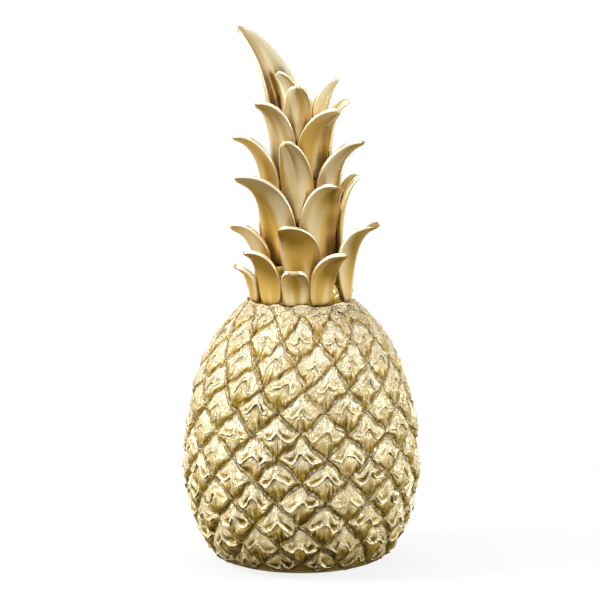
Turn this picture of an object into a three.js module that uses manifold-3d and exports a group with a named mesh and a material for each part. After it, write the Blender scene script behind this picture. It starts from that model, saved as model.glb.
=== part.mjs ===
// Pineapple figurine: a hollow cast fruit covered with rows of eyes, closed underneath by a plug and a felt pad,
// and crowned by leaves that are cast one by one and stand in rings on the ledges of a stepped core.
// Millimetres, +Z up. The origin is the centre of the face that the figurine stands on.
import * as THREE from "three";
import { mergeVertices } from "three/addons/utils/BufferGeometryUtils.js";
import Module from "manifold-3d";

const wasm = await Module();
wasm.setup();

// Driving dimensions of the fruit: radii over the lips of its eyes, and the flats at its foot and shoulder
const BELLY_RADIUS = 55.8;
const BELLY_HEIGHT = 46;
const BASE_RADIUS = 36.6;
const SHOULDER_RADIUS = 25.7;
const SEAT_HEIGHT = 123.2;
const SEAT_INSET = 0.8;
const FOOT_INSET = 4.6;

// The eyes: staggered rings, their relief at the foot and at the shoulder, and the turn of the upper rings
const EYES_PER_RING = 15;
const RING_COUNT = 12;
const FIRST_RING_HEIGHT = 6.5;
const LOWEST_CORNER_HEIGHT = 2.2;
const LAST_RING_DROP = 5;
const HIGHEST_CORNER_DROP = 0.8;
const LOWER_RELIEF = 4.3;
const UPPER_RELIEF = 2.5;
const TURN_DROP = 40.2;
const TURN_ANGLE = 13;

// The casting: its wall, floor and top, the pour hole and the socket for the crown
const WALL = 4.5;
const FLOOR = 5;
const TOP_WALL = 9;
const POUR_HOLE_RADIUS = 11;
const SOCKET_RADIUS = 14;

// The plug's flange and the felt pad that stands proud of the foot
const PLUG_FLANGE_OVERLAP = 4;
const PLUG_FLANGE_THICKNESS = 1.6;
const PAD_MARGIN = 4;
const PAD_THICKNESS = 1.4;
const PAD_INSET = 0.8;

// The crown: leaves of one thickness, and the core with its spigot, its bud and a ledge for each ring of leaves
const LEAF_THICKNESS = 2.2;
const LEAF_HEIGHT = 40;
const LEAF_REACH = 16;
const LEAF_KEEL = 0.7;
const RING_SETBACK = 0.6;
const CORE_HEIGHT = 92;
const BUD_HEIGHT = 8;
const SPIGOT_DEPTH = 8;

// Gap between pieces that are bonded or rest on each other, and the overrun of cuts
const GAP = 0.3;
const OVERRUN = 2;

// Facets: rings of a turned piece, steps of its curves, and the mesh of a leaf
const TURNED_FACETS = 40;
const CURVE_STEPS = 10;
const LEAF_STEPS = 7;

// One eye, in shares: across from its middle, up from its middle, and of the relief
const EYE_BRACT_SHARES = [[-0.38, 0.52, 0.5], [0, 0.6, 0.6], [0.38, 0.52, 0.5]];
const EYE_LIP_SHARES = [[-0.78, 0.1, 0.5], [-0.36, 0.02, 1], [0, 0.16, 0.84], [0.36, 0.02, 1], [0.78, 0.1, 0.5]];
const EYE_STEP_SHARES = [[-0.74, -0.1, 0.26], [-0.36, -0.2, 0.46], [0, -0.1, 0.46], [0.36, -0.2, 0.46], [0.74, -0.1, 0.26]];
const EYE_DOME_SHARES = [[-0.36, -0.54, 0.42], [0, -0.5, 0.62], [0.36, -0.54, 0.42]];

// The ledges' heights and the bud's outline, in shares of the core's height, of the bud's radius and of its height
const LEDGE_RISE_SHARES = [0, 0.104, 0.196, 0.391, 0.62, 0.793, 0.891];
const BUD_SHARES = [[1, 0], [0.72, 0.62], [0, 1]];

// Leaves, ring by ring from the shoulder up. Each row: azimuth in degrees from the front, turn of the tip in
// degrees, and shares of the leaf height, of the reach and, for the half width, of the ring's radius, then the
// power of the flare, the share by which the tip curls down, the fullness of the point and the root's width.
const LEAF_SHARES = [
  [
    [-105, 0, 0.32, 0.34, 0.27, 2.4, 0.14, 0.5],
    [-71, 0, 0.43, 0.6, 0.27, 2.4, 0.18, 0.44],
    [-37, -18, 0.61, 0.58, 0.29, 2.6, 0.2, 0.36],
    [-6, 0, 0.42, 0.62, 0.28, 2.2, 0.18, 0.4],
    [23, 17, 0.6, 0.66, 0.27, 2.6, 0.2, 0.38],
    [70, -8, 0.89, 0.9, 0.49, 2.5, 0.23, 0.3, 0.36],
    [109, 0, 0.2, 0.02, 0.25, 2.4, 0.14, 0.5],
    [141, 6, 0.56, 0.62, 0.31, 2.4, 0.13, 0.5],
    [177, 0, 0.44, 0.6, 0.29, 2.3, 0.16, 0.45],
    [-139, -6, 0.6, 0.62, 0.31, 2.4, 0.13, 0.5],
  ],
  [
    [-69, -18, 0.59, 0.62, 0.6, 2.2, 0.22, 0.32, 0.6],
    [4, -27, 0.66, 0.48, 0.46, 2.8, 0.12, 0.62, 0.92],
    [55, 0, 0.28, 0.1, 0.3, 2.6, 0.1, 0.55],
    [115, 0, 0.36, 0.36, 0.42, 2.4, 0.13, 0.5],
    [168, 5, 0.66, 0.62, 0.43, 2.5, 0.13, 0.5],
    [-134, -5, 0.44, 0.4, 0.43, 2.4, 0.13, 0.5],
  ],
  [
    [-37, -31, 0.98, 0.93, 0.64, 2.8, 0.2, 0.3, 0.66],
    [26, 12, 0.93, 0.62, 0.55, 3, 0.17, 0.38, 0.74],
    [99, 2, 0.99, 0.64, 0.54, 3.2, 0.16, 0.32, 0.62],
    [149, 0, 0.78, 0.6, 0.3, 2.8, 0.1, 0.55],
    [-170, 0, 1, 0.72, 0.38, 2.6, 0.1, 0.5],
    [-121, 0, 0.74, 0.3, 0.44, 2.8, 0.12, 0.5],
  ],
  [
    [-67, -12, 1, 1.04, 0.67, 2.3, 0.25, 0.31, 0.57],
    [-4, -15, 1, 0.55, 0.48, 2.8, 0.05, 0.5],
    [56, 13, 0.97, 1.01, 0.62, 2.8, 0.18, 0.42, 0.62],
    [118, 0, 0.86, 0.66, 0.49, 2.5, 0.1, 0.5],
    [176, 0, 1, 0.8, 0.53, 2.6, 0.1, 0.5],
    [-129, 0, 0.72, 0.5, 0.44, 2.5, 0.1, 0.5],
  ],
  [
    [-42, -21, 0.87, 0.69, 0.65, 2.8, 0.2, 0.36, 0.68],
    [25, 26, 0.8, 0.66, 0.65, 2.8, 0.14, 0.42, 0.72],
    [98, 0, 0.89, 0.62, 0.6, 3.6, 0.18, 0.38, 0.56],
    [149, 0, 0.7, 0.5, 0.34, 2.6, 0.1, 0.55],
    [-142, 25, 1.74, 1.28, 1.02, 2.2, 0.02, 0.6, 0.66],
  ],
  [
    [-8, 0, 0.7, 0.26, 0.61, 3, 0.02, 0.48],
    [67, 4, 0.77, 0.46, 0.74, 2.6, 0.1, 0.5],
    [155, -12, 0.5, 0.2, 0.56, 2.6, 0.05, 0.6],
    [-96, 0, 0.34, 0.08, 0.61, 2.8, 0.02, 0.6],
  ],
  [
    [-42, -24, 0.6, 0.3, 0.84, 2.4, 0.1, 0.48],
    [170, 0, 0.4, 0.2, 0.79, 2.4, 0.02, 0.6],
  ],
];
const LEAF_ROOT_SHARE = 0.76;
const LEAF_WIDEST_SHARE = 0.46;
const LEAF_RIM_SHARE = 0.66;
const LEAF_CUP_SHARE = 0.75;
const CURL_POWER = 4;
const TURN_POWER = 2.5;

// Derived heights and radii
const UPPER_SEMI_AXIS = (SEAT_HEIGHT - BELLY_HEIGHT) / Math.sqrt(1 - (SHOULDER_RADIUS / BELLY_RADIUS) ** 2);
const LOWER_SEMI_AXIS = BELLY_HEIGHT / Math.sqrt(1 - (BASE_RADIUS / BELLY_RADIUS) ** 2);
const SEAT_RADIUS = SHOULDER_RADIUS - SEAT_INSET;
const FOOT_RADIUS = BASE_RADIUS - FOOT_INSET;
const PAD_RADIUS = FOOT_RADIUS - PAD_MARGIN;
const PLUG_FLANGE_RADIUS = POUR_HOLE_RADIUS + PLUG_FLANGE_OVERLAP;
const LAST_RING_HEIGHT = SEAT_HEIGHT - LAST_RING_DROP;
const HIGHEST_CORNER_HEIGHT = SEAT_HEIGHT - HIGHEST_CORNER_DROP;
const TURN_START_HEIGHT = SEAT_HEIGHT - TURN_DROP;
const RIM_HEIGHT = PAD_THICKNESS - PAD_INSET;
const CORE_BASE_HEIGHT = SEAT_HEIGHT + GAP;
const RING_STEP = LEAF_THICKNESS + GAP;
const FIRST_WALL_RADIUS = SEAT_RADIUS - RING_SETBACK - LEAF_THICKNESS - GAP;
const LEAF_RINGS = LEAF_SHARES.map((leaves, ring) => ({
  leaves,
  wallRadius: FIRST_WALL_RADIUS - ring * RING_STEP,
  rootHeight: SEAT_HEIGHT + LEDGE_RISE_SHARES[ring] * CORE_HEIGHT,
}));

const gilt = (color, roughness) => new THREE.MeshStandardMaterial({ color, roughness, metalness: 0.85 });
const fruitGilt = gilt(0xc9ad74, 0.38);
const leafGilt = gilt(0xd8c08c, 0.32);
const plugBlack = new THREE.MeshStandardMaterial({ color: 0x26241f, roughness: 0.7, metalness: 0 });
const feltBrown = new THREE.MeshStandardMaterial({ color: 0x4a3b2a, roughness: 1, metalness: 0 });

// A point at an azimuth counted from the front, towards +X
function polar(radius, azimuth, height) {
  const angle = THREE.MathUtils.degToRad(azimuth);
  return new THREE.Vector3(radius * Math.sin(angle), -radius * Math.cos(angle), height);
}

// Geometry with shared vertices from points and triangles
function indexedGeometry(points, triangles) {
  const geometry = new THREE.BufferGeometry();
  geometry.setAttribute("position", new THREE.Float32BufferAttribute(points.flatMap((p) => p.toArray()), 3));
  geometry.setIndex(triangles.flat());
  return geometry;
}

// Triangles between two rows of vertices that run the same way, the second row below the first
function zip(upper, lower) {
  const triangles = [];
  let i = 0;
  let j = 0;
  while (i < upper.length - 1 || j < lower.length - 1) {
    const upperNext = i < upper.length - 1 ? (i + 1) / (upper.length - 1) : Infinity;
    const lowerNext = j < lower.length - 1 ? (j + 1) / (lower.length - 1) : Infinity;
    if (upperNext < lowerNext) {
      triangles.push([upper[i], lower[j], upper[i + 1]]);
      i += 1;
    } else {
      triangles.push([upper[i], lower[j], lower[j + 1]]);
      j += 1;
    }
  }
  return triangles;
}

// A turned solid about the Z axis, from radius and height pairs that start and end on the axis
function turned(profile, facets = TURNED_FACETS) {
  const points = profile.map(([radius, height]) => new THREE.Vector2(radius, height));
  return new THREE.LatheGeometry(points, facets).rotateX(Math.PI / 2);
}

function toManifold(geometry) {
  const bare = geometry.clone();
  bare.deleteAttribute("normal");
  bare.deleteAttribute("uv");
  const merged = mergeVertices(bare);
  const vertProperties = new Float32Array(merged.attributes.position.array);
  const triVerts = new Uint32Array(merged.index.array);
  return new wasm.Manifold(new wasm.Mesh({ numProp: 3, vertProperties, triVerts }));
}

function fromManifold(solid) {
  const mesh = solid.getMesh();
  const geometry = new THREE.BufferGeometry();
  geometry.setAttribute("position", new THREE.BufferAttribute(new Float32Array(mesh.vertProperties), 3));
  geometry.setIndex(new THREE.BufferAttribute(new Uint32Array(mesh.triVerts), 1));
  return geometry;
}

function namedMesh(name, geometry, material) {
  const mesh = new THREE.Mesh(geometry, material);
  mesh.name = name;
  return mesh;
}

// Radius over the lips: two half ellipses that meet at the belly
function lipRadius(height) {
  const semiAxis = height > BELLY_HEIGHT ? UPPER_SEMI_AXIS : LOWER_SEMI_AXIS;
  return BELLY_RADIUS * Math.sqrt(Math.max(0, 1 - ((height - BELLY_HEIGHT) / semiAxis) ** 2));
}

// The relief shrinks evenly from the foot to the shoulder
function reliefAt(height) {
  return THREE.MathUtils.lerp(LOWER_RELIEF, UPPER_RELIEF, height / SEAT_HEIGHT);
}

const grooveRadius = (height) => lipRadius(height) - reliefAt(height);

// Direction out of the groove surface, as radial and upward parts
function outwardAt(height) {
  const semiAxis = height > BELLY_HEIGHT ? UPPER_SEMI_AXIS : LOWER_SEMI_AXIS;
  const radial = lipRadius(height) / BELLY_RADIUS ** 2;
  const upward = (height - BELLY_HEIGHT) / semiAxis ** 2;
  return new THREE.Vector2(radial, upward).normalize();
}

// The upper rings turn to the right on their way to the shoulder
function turnAt(height) {
  const share = THREE.MathUtils.clamp((height - TURN_START_HEIGHT) / (LAST_RING_HEIGHT - TURN_START_HEIGHT), 0, 1);
  return TURN_ANGLE * Math.sin((share * Math.PI) / 2);
}

// Middle height of a ring of eyes: even steps, with the shoulder ring and the outer corners placed by themselves
function ringHeight(ring) {
  if (ring < 0) return LOWEST_CORNER_HEIGHT;
  if (ring === RING_COUNT) return HIGHEST_CORNER_HEIGHT;
  return THREE.MathUtils.lerp(FIRST_RING_HEIGHT, LAST_RING_HEIGHT, ring / (RING_COUNT - 1));
}

const EYE_PITCH = 360 / EYES_PER_RING;
const isOdd = (ring) => Math.abs(ring % 2) === 1;
const eyeAzimuth = (ring, eye) => (eye + (isOdd(ring) ? 0 : 0.5)) * EYE_PITCH;
const cornerAzimuth = (ring, corner) => (corner + (isOdd(ring) ? 0.5 : 0)) * EYE_PITCH;

// A point of an eye's relief: across and up run from -1 to 1, and lift is a share of the relief
function eyePoint(ring, azimuth, across, up, lift) {
  const middle = ringHeight(ring);
  const end = up > 0 ? ringHeight(ring + 1) : ringHeight(ring - 1);
  const height = THREE.MathUtils.lerp(middle, end, Math.abs(up));
  const outward = outwardAt(height).multiplyScalar(lift * reliefAt(height));
  const turnedAzimuth = azimuth + (across * EYE_PITCH) / 2 + turnAt(height);
  return polar(grooveRadius(height) + outward.x, turnedAzimuth, height + outward.y);
}

// The fruit's closed skin: one relief for every eye, joined at their corners, a foot band and a shoulder seat
function fruitSkin() {
  const points = [];
  const triangles = [];
  const add = (point) => points.push(point) - 1;

  const corners = new Map();
  for (let ring = -1; ring <= RING_COUNT; ring += 1) {
    const height = ringHeight(ring);
    const row = [];
    for (let corner = 0; corner < EYES_PER_RING; corner += 1) {
      row.push(add(polar(grooveRadius(height), cornerAzimuth(ring, corner) + turnAt(height), height)));
    }
    corners.set(ring, row);
  }
  const cornerAt = (ring, corner) => corners.get(ring)[(corner + EYES_PER_RING) % EYES_PER_RING];

  for (let ring = 0; ring < RING_COUNT; ring += 1) {
    for (let eye = 0; eye < EYES_PER_RING; eye += 1) {
      const azimuth = eyeAzimuth(ring, eye);
      const row = (shares) => shares.map((share) => add(eyePoint(ring, azimuth, ...share)));
      const bract = row(EYE_BRACT_SHARES);
      const lip = row(EYE_LIP_SHARES);
      const step = row(EYE_STEP_SHARES);
      const dome = row(EYE_DOME_SHARES);
      const left = cornerAt(ring, isOdd(ring) ? eye - 1 : eye);
      const right = cornerAt(ring, isOdd(ring) ? eye : eye + 1);
      const top = cornerAt(ring + 1, eye);
      const bottom = cornerAt(ring - 1, eye);
      triangles.push(...zip([top], bract), ...zip(bract, [left, ...lip, right]), ...zip(lip, step));
      triangles.push([left, step[0], lip[0]], [lip.at(-1), step.at(-1), right]);
      triangles.push(...zip([left, ...step, right], dome), ...zip(dome, [bottom]));
      triangles.push([top, left, bract[0]], [top, bract.at(-1), right]);
      triangles.push([left, bottom, dome[0]], [dome.at(-1), bottom, right]);
    }
  }

  // Rings under the lowest eyes and over the highest ones, closed by a fan on the axis
  const foot = [];
  const seat = [];
  for (let side = 0; side < 2 * EYES_PER_RING; side += 1) {
    const azimuth = (side * EYE_PITCH) / 2;
    foot.push(add(polar(FOOT_RADIUS, azimuth, RIM_HEIGHT)));
    seat.push(add(polar(SEAT_RADIUS, azimuth + turnAt(SEAT_HEIGHT), SEAT_HEIGHT)));
  }
  const footMiddle = add(new THREE.Vector3(0, 0, RIM_HEIGHT));
  const seatMiddle = add(new THREE.Vector3(0, 0, SEAT_HEIGHT));
  for (let eye = 0; eye < EYES_PER_RING; eye += 1) {
    const next = (2 * eye + 2) % (2 * EYES_PER_RING);
    const lowest = [cornerAt(0, eye), cornerAt(-1, eye), cornerAt(0, eye + 1)];
    triangles.push(...zip(lowest, [foot[2 * eye], foot[2 * eye + 1], foot[next]]));
    const ring = RING_COUNT;
    const highest = [cornerAt(ring, eye), cornerAt(ring - 1, eye), cornerAt(ring, eye + 1)];
    triangles.push(...zip([seat[2 * eye], seat[2 * eye + 1], seat[next]], highest));
    for (const side of [2 * eye, 2 * eye + 1]) {
      const following = (side + 1) % (2 * EYES_PER_RING);
      triangles.push([foot[side], footMiddle, foot[following]]);
      triangles.push([seatMiddle, seat[side], seat[following]]);
    }
  }
  return indexedGeometry(points, triangles);
}

// The space inside the casting, one wall inside the grooves
function cavity() {
  const bottom = RIM_HEIGHT + FLOOR;
  const top = SEAT_HEIGHT - TOP_WALL;
  const profile = [[0, bottom]];
  for (let step = 0; step <= CURVE_STEPS; step += 1) {
    const height = THREE.MathUtils.lerp(bottom, top, step / CURVE_STEPS);
    profile.push([grooveRadius(height) - WALL, height]);
  }
  profile.push([0, top]);
  return turned(profile, 2 * EYES_PER_RING);
}

function cylinderBetween(radius, bottom, top) {
  return turned([[0, bottom], [radius, bottom], [radius, top], [0, top]]);
}

// The hollow casting with its crown socket, pour hole, plug rebate and pad recess
function fruitBody() {
  const cuts = [
    cavity(),
    cylinderBetween(SOCKET_RADIUS, SEAT_HEIGHT - TOP_WALL - OVERRUN, SEAT_HEIGHT + OVERRUN),
    cylinderBetween(POUR_HOLE_RADIUS, -OVERRUN, RIM_HEIGHT + FLOOR + OVERRUN),
    cylinderBetween(PLUG_FLANGE_RADIUS + GAP, -OVERRUN, PAD_THICKNESS + PLUG_FLANGE_THICKNESS + 2 * GAP),
    cylinderBetween(PAD_RADIUS + GAP, -OVERRUN, PAD_THICKNESS + GAP),
  ];
  const solid = cuts.reduce((body, cut) => body.subtract(toManifold(cut)), toManifold(fruitSkin()));
  return namedMesh("fruit_body", fromManifold(solid), fruitGilt);
}

// The plug fills the pour hole, with its flange in the rebate above the pad
function basePlug() {
  const bottom = PAD_THICKNESS + GAP;
  const flangeTop = bottom + PLUG_FLANGE_THICKNESS;
  const shankRadius = POUR_HOLE_RADIUS - GAP;
  const top = RIM_HEIGHT + FLOOR;
  const profile = [
    [0, bottom],
    [PLUG_FLANGE_RADIUS, bottom],
    [PLUG_FLANGE_RADIUS, flangeTop],
    [shankRadius, flangeTop],
    [shankRadius, top],
    [0, top],
  ];
  return namedMesh("base_plug", turned(profile), plugBlack);
}

// The felt pad that the figurine stands on, proud of the foot's rim
function feltPad() {
  return namedMesh("felt_pad", cylinderBetween(PAD_RADIUS, 0, PAD_THICKNESS), feltBrown);
}

// The stepped core: a spigot in the fruit's socket, one wall and one ledge for each ring of leaves, and a bud
function crownCore() {
  const spigotRadius = SOCKET_RADIUS - GAP;
  const budHeight = SEAT_HEIGHT + CORE_HEIGHT - BUD_HEIGHT;
  const profile = [
    [0, SEAT_HEIGHT - SPIGOT_DEPTH],
    [spigotRadius, SEAT_HEIGHT - SPIGOT_DEPTH],
    [spigotRadius, CORE_BASE_HEIGHT],
  ];
  LEAF_RINGS.forEach(({ wallRadius, rootHeight }, ring) => {
    const above = LEAF_RINGS[ring + 1];
    profile.push([wallRadius, ring === 0 ? CORE_BASE_HEIGHT : rootHeight]);
    if (above) profile.push([wallRadius, above.rootHeight]);
  });
  const budRadius = LEAF_RINGS.at(-1).wallRadius;
  BUD_SHARES.forEach(([radius, rise]) => profile.push([radius * budRadius, budHeight + rise * BUD_HEIGHT]));
  return namedMesh("crown_core", turned(profile), leafGilt);
}

// Half width along a leaf: broad from the root to the widest place, then drawn in to the point
function leafHalfWidth(share, fullest, fullness, rootShare = LEAF_ROOT_SHARE) {
  if (share < LEAF_WIDEST_SHARE) {
    const rise = Math.sin((share / LEAF_WIDEST_SHARE) * (Math.PI / 2));
    return fullest * THREE.MathUtils.lerp(rootShare, 1, rise);
  }
  const fall = (share - LEAF_WIDEST_SHARE) / (1 - LEAF_WIDEST_SHARE);
  return fullest * (1 - fall ** 2) ** fullness;
}

// One leaf: it stands against the core's wall, then flares outwards by a power law and curls at the tip
function leafGeometry(wallRadius, rootHeight, shares) {
  const [azimuth, tipTurn, heightShare, reachShare, widthShare, power, curl, fullness, rootShare] = shares;
  const rootRadius = wallRadius + GAP + LEAF_THICKNESS / 2;
  const height = heightShare * LEAF_HEIGHT;
  const reach = reachShare * LEAF_REACH;
  const centre = (share) => {
    const rise = (share - curl * share ** CURL_POWER) / (1 - curl);
    const radius = rootRadius + reach * share ** power;
    return polar(radius, azimuth + tipTurn * share ** TURN_POWER, rootHeight + GAP + height * rise);
  };
  const loopShares = [-1, -0.5, 0, 0.5, 1];
  const points = [];
  const rings = [];
  for (let step = 0; step < LEAF_STEPS; step += 1) {
    const share = Math.sin((step / LEAF_STEPS) * (Math.PI / 2));
    const nearby = 1 / (4 * LEAF_STEPS);
    const along = centre(share + nearby).sub(centre(Math.max(0, share - nearby))).normalize();
    const angle = THREE.MathUtils.degToRad(azimuth + tipTurn * share ** TURN_POWER);
    const across = new THREE.Vector3(Math.cos(angle), Math.sin(angle), 0);
    if (step === 0) along.set(0, 0, 1);
    across.addScaledVector(along, -across.dot(along)).normalize();
    const outward = new THREE.Vector3().crossVectors(across, along);
    const halfWidth = leafHalfWidth(share, widthShare * rootRadius, fullness, rootShare);
    const cupRadius = rootRadius * THREE.MathUtils.lerp(1, LEAF_CUP_SHARE, share ** 2);
    const halfAngle = halfWidth / cupRadius;
    const place = (loopShare, side) => {
      const bend = loopShare * halfAngle;
      const rim = THREE.MathUtils.lerp(1, LEAF_RIM_SHARE, loopShare ** 2);
      const keel = side > 0 ? LEAF_KEEL * share * (1 - Math.abs(loopShare)) * (1 - share) : 0;
      const radius = cupRadius + (side * LEAF_THICKNESS * rim) / 2;
      return centre(share)
        .addScaledVector(across, radius * Math.sin(bend))
        .addScaledVector(outward, radius * Math.cos(bend) - cupRadius + keel);
    };
    const outer = loopShares.map((loopShare) => place(loopShare, 1));
    const inner = loopShares.map((loopShare) => place(loopShare, -1)).reverse();
    rings.push([...outer, ...inner].map((point) => points.push(point) - 1));
  }
  const tip = points.push(centre(1)) - 1;
  const triangles = [];
  const count = rings[0].length;
  for (let side = 0; side < count; side += 1) {
    const next = (side + 1) % count;
    for (let step = 0; step < LEAF_STEPS - 1; step += 1) {
      const [low, high] = [rings[step], rings[step + 1]];
      triangles.push([low[side], low[next], high[next]], [low[side], high[next], high[side]]);
    }
    triangles.push([rings.at(-1)[side], rings.at(-1)[next], tip]);
  }
  const root = rings[0];
  for (let side = 0; side < loopShares.length - 1; side += 1) {
    const [a, b] = [root[side], root[side + 1]];
    const [c, d] = [root[count - 2 - side], root[count - 1 - side]];
    triangles.push([a, d, c], [a, c, b]);
  }
  return indexedGeometry(points, triangles);
}

function crownLeaves() {
  const leaves = new THREE.Group();
  LEAF_RINGS.forEach((ring, ringIndex) => {
    ring.leaves.forEach((shares, leafIndex) => {
      const name = `leaf_${ringIndex + 1}${String.fromCharCode("a".charCodeAt(0) + leafIndex)}`;
      leaves.add(namedMesh(name, leafGeometry(ring.wallRadius, ring.rootHeight, shares), leafGilt));
    });
  });
  return leaves;
}

const figurine = new THREE.Group();
figurine.add(fruitBody(), basePlug(), feltPad(), crownCore(), crownLeaves());

export default figurine;
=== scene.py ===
# %% [markdown]
# # A gilt pineapple figurine
# The figurine is a hollow resin casting, covered with rows of eyes, under a crown of leaves that were cast
# one by one. The packed model already gives every piece its size and place, so this lesson only adds what
# the eye enjoys: the sculpted relief of the eyes, soft rims on the leaves, the felt under the foot, and the
# gilt paint.

# %% Load the frame
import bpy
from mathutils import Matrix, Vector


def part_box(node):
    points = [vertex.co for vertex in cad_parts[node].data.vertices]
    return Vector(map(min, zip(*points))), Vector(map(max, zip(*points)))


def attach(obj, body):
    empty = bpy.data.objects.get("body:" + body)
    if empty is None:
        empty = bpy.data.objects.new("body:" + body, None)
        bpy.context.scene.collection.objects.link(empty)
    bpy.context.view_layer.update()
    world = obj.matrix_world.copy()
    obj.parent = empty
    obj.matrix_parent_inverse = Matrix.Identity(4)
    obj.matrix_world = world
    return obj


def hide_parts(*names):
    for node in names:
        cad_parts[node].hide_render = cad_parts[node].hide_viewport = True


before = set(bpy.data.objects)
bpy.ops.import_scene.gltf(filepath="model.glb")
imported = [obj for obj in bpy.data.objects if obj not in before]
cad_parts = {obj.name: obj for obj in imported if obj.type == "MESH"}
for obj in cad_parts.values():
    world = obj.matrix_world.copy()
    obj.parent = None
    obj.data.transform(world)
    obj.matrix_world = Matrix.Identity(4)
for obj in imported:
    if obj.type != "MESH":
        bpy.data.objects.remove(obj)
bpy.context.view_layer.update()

import math
from types import SimpleNamespace

import bpy
import numpy as np
from mathutils import Vector, noise

# %% [markdown]
# ## The camera
# The photograph was taken a little from above with a long lens, so the fruit hardly narrows towards its far
# side. A camera 1.5 m away with a 195 mm lens gives the same flat view.

# %% Camera
CAMERA_PLACE = Vector((0, -1.5, 0.324))
CAMERA_AIM = Vector((0, 0, 0.1235))
LENS = 195
IMAGE_PIXELS = 600
AXIS_OFFSET_PIXELS = 1

camera_data = bpy.data.cameras.new("camera")
camera_data.lens = LENS
camera_data.shift_x = -AXIS_OFFSET_PIXELS / IMAGE_PIXELS
camera = bpy.data.objects.new("camera", camera_data)
camera.location = CAMERA_PLACE
camera.rotation_euler = (CAMERA_AIM - CAMERA_PLACE).to_track_quat("-Z", "Y").to_euler()
bpy.context.scene.collection.objects.link(camera)
bpy.context.scene.camera = camera
bpy.context.scene.view_settings.view_transform = "Standard"
print("camera is", round((CAMERA_AIM - CAMERA_PLACE).length, 3), "m from its aim")


# %% [markdown]
# ## Shader maths
# A finish is mostly arithmetic on masks. Wrapping a socket in a small class lets that arithmetic be written
# as plain Python expressions, each of which adds its Math node.

# %% A socket with arithmetic
MIX_FACTOR, MIX_FIRST, MIX_SECOND, MIX_RESULT = 0, 6, 7, 2


class Signal:
    """An output socket that can be added, multiplied and mixed."""

    def __init__(self, socket):
        self.socket = socket
        self.tree = socket.id_data

    @staticmethod
    def node(tree, kind, settings=None, values=None, output=0):
        """Add a node: its settings first, then the values or links of its sockets."""
        made = tree.nodes.new(kind)
        for name, value in (settings or {}).items():
            setattr(made, name, value)
        for key, value in (values or {}).items():
            if isinstance(value, Signal):
                tree.links.new(value.socket, made.inputs[key])
            else:
                made.inputs[key].default_value = value
        return Signal(made.outputs[output]) if made.outputs else made

    def math(self, operation, *others, clamp=False):
        values = dict(enumerate((self, *others)))
        return Signal.node(self.tree, "ShaderNodeMath", {"operation": operation, "use_clamp": clamp}, values)

    def __add__(self, other):
        return self.math("ADD", other)

    def __sub__(self, other):
        return self.math("SUBTRACT", other)

    def __mul__(self, other):
        return self.math("MULTIPLY", other)

    def __pow__(self, other):
        return self.math("POWER", other)

    def __rsub__(self, other):
        return (self * -1) + other

    __radd__ = __add__
    __rmul__ = __mul__

    def clamped(self):
        return self.math("ADD", 0, clamp=True)

    def ramp(self, start, end):
        """0 below start, 1 above end, and smooth between."""
        settings = {"interpolation_type": "SMOOTHSTEP"}
        values = {"Value": self, "From Min": start, "From Max": end}
        return Signal.node(self.tree, "ShaderNodeMapRange", settings, values)

    def band(self, start, full, fading, end):
        """0 outside start and end, 1 from full to fading."""
        return self.ramp(start, full) * (1 - self.ramp(fading, end))

    def mix(self, first, second):
        """First colour where this signal is 0, second where it is 1."""
        values = {MIX_FACTOR: self, MIX_FIRST: first, MIX_SECOND: second}
        return Signal.node(self.tree, "ShaderNodeMix", {"data_type": "RGBA"}, values, MIX_RESULT)


print("a signal can", ", ".join(name for name in vars(Signal) if not name.startswith("_")))

# %% Colours and places
FULL_CHANNEL = 255
SRGB_TOE = 0.04045
SRGB_SLOPE = 12.92
SRGB_OFFSET = 0.055
SRGB_POWER = 2.4
OBJECT_OUTPUT = 3


def linear(channel):
    share = channel / FULL_CHANNEL
    if share <= SRGB_TOE:
        return share / SRGB_SLOPE
    return ((share + SRGB_OFFSET) / (1 + SRGB_OFFSET)) ** SRGB_POWER


def srgb(*channels):
    """A colour given as it looks on screen, from 0 to 255, as linear light."""
    return (*map(linear, channels), 1)


def object_place(tree):
    return Signal.node(tree, "ShaderNodeTexCoord", None, None, OBJECT_OUTPUT)


print("half grey on screen is", round(linear(FULL_CHANNEL / 2), 3), "in linear light")

# %% [markdown]
# ## The studio
# The photograph has a white ground without a horizon. So the world is white to the camera and in
# reflections, but lights the piece at 35% of that, and the floor is a sheet of paper that grows white
# away from the figurine, with a soft shadow left under it. Four large lamps give the soft highlights. Each
# has its place and its size in metres, and its power in watts.

# %% White world
WORLD_LEVEL = 0.35
WHITE = (1, 1, 1, 1)

world = bpy.data.worlds.new("studio")
bpy.context.scene.world = world
world.use_nodes = True
world.node_tree.nodes.clear()
path = Signal.node(world.node_tree, "ShaderNodeLightPath")
outputs = path.socket.node.outputs
seen = Signal(outputs["Is Camera Ray"])
for ray in ("Is Glossy Ray", "Is Transmission Ray"):
    seen = seen.math("MAXIMUM", Signal(outputs[ray]))
strength = WORLD_LEVEL + seen * (1 - WORLD_LEVEL)
light = {"Color": WHITE, "Strength": strength}
background = Signal.node(world.node_tree, "ShaderNodeBackground", None, light)
Signal.node(world.node_tree, "ShaderNodeOutputWorld", None, {"Surface": background})
print("the world lights the piece at", WORLD_LEVEL, "of white")

# %% Paper floor
FLOOR_SIZE = 12
FLOOR_DROP = 0.0002
FLOOR_WHITENING = 0.84
SHADOW_REACH = 0.45
PAPER = srgb(244, 243, 240)
LENGTH_OUTPUT = 1


def deselect():
    for thing in bpy.context.selected_objects:
        thing.select_set(False)


def new_material(name):
    material = bpy.data.materials.new(name)
    material.use_nodes = True
    material.node_tree.nodes.clear()
    return material, material.node_tree


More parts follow.
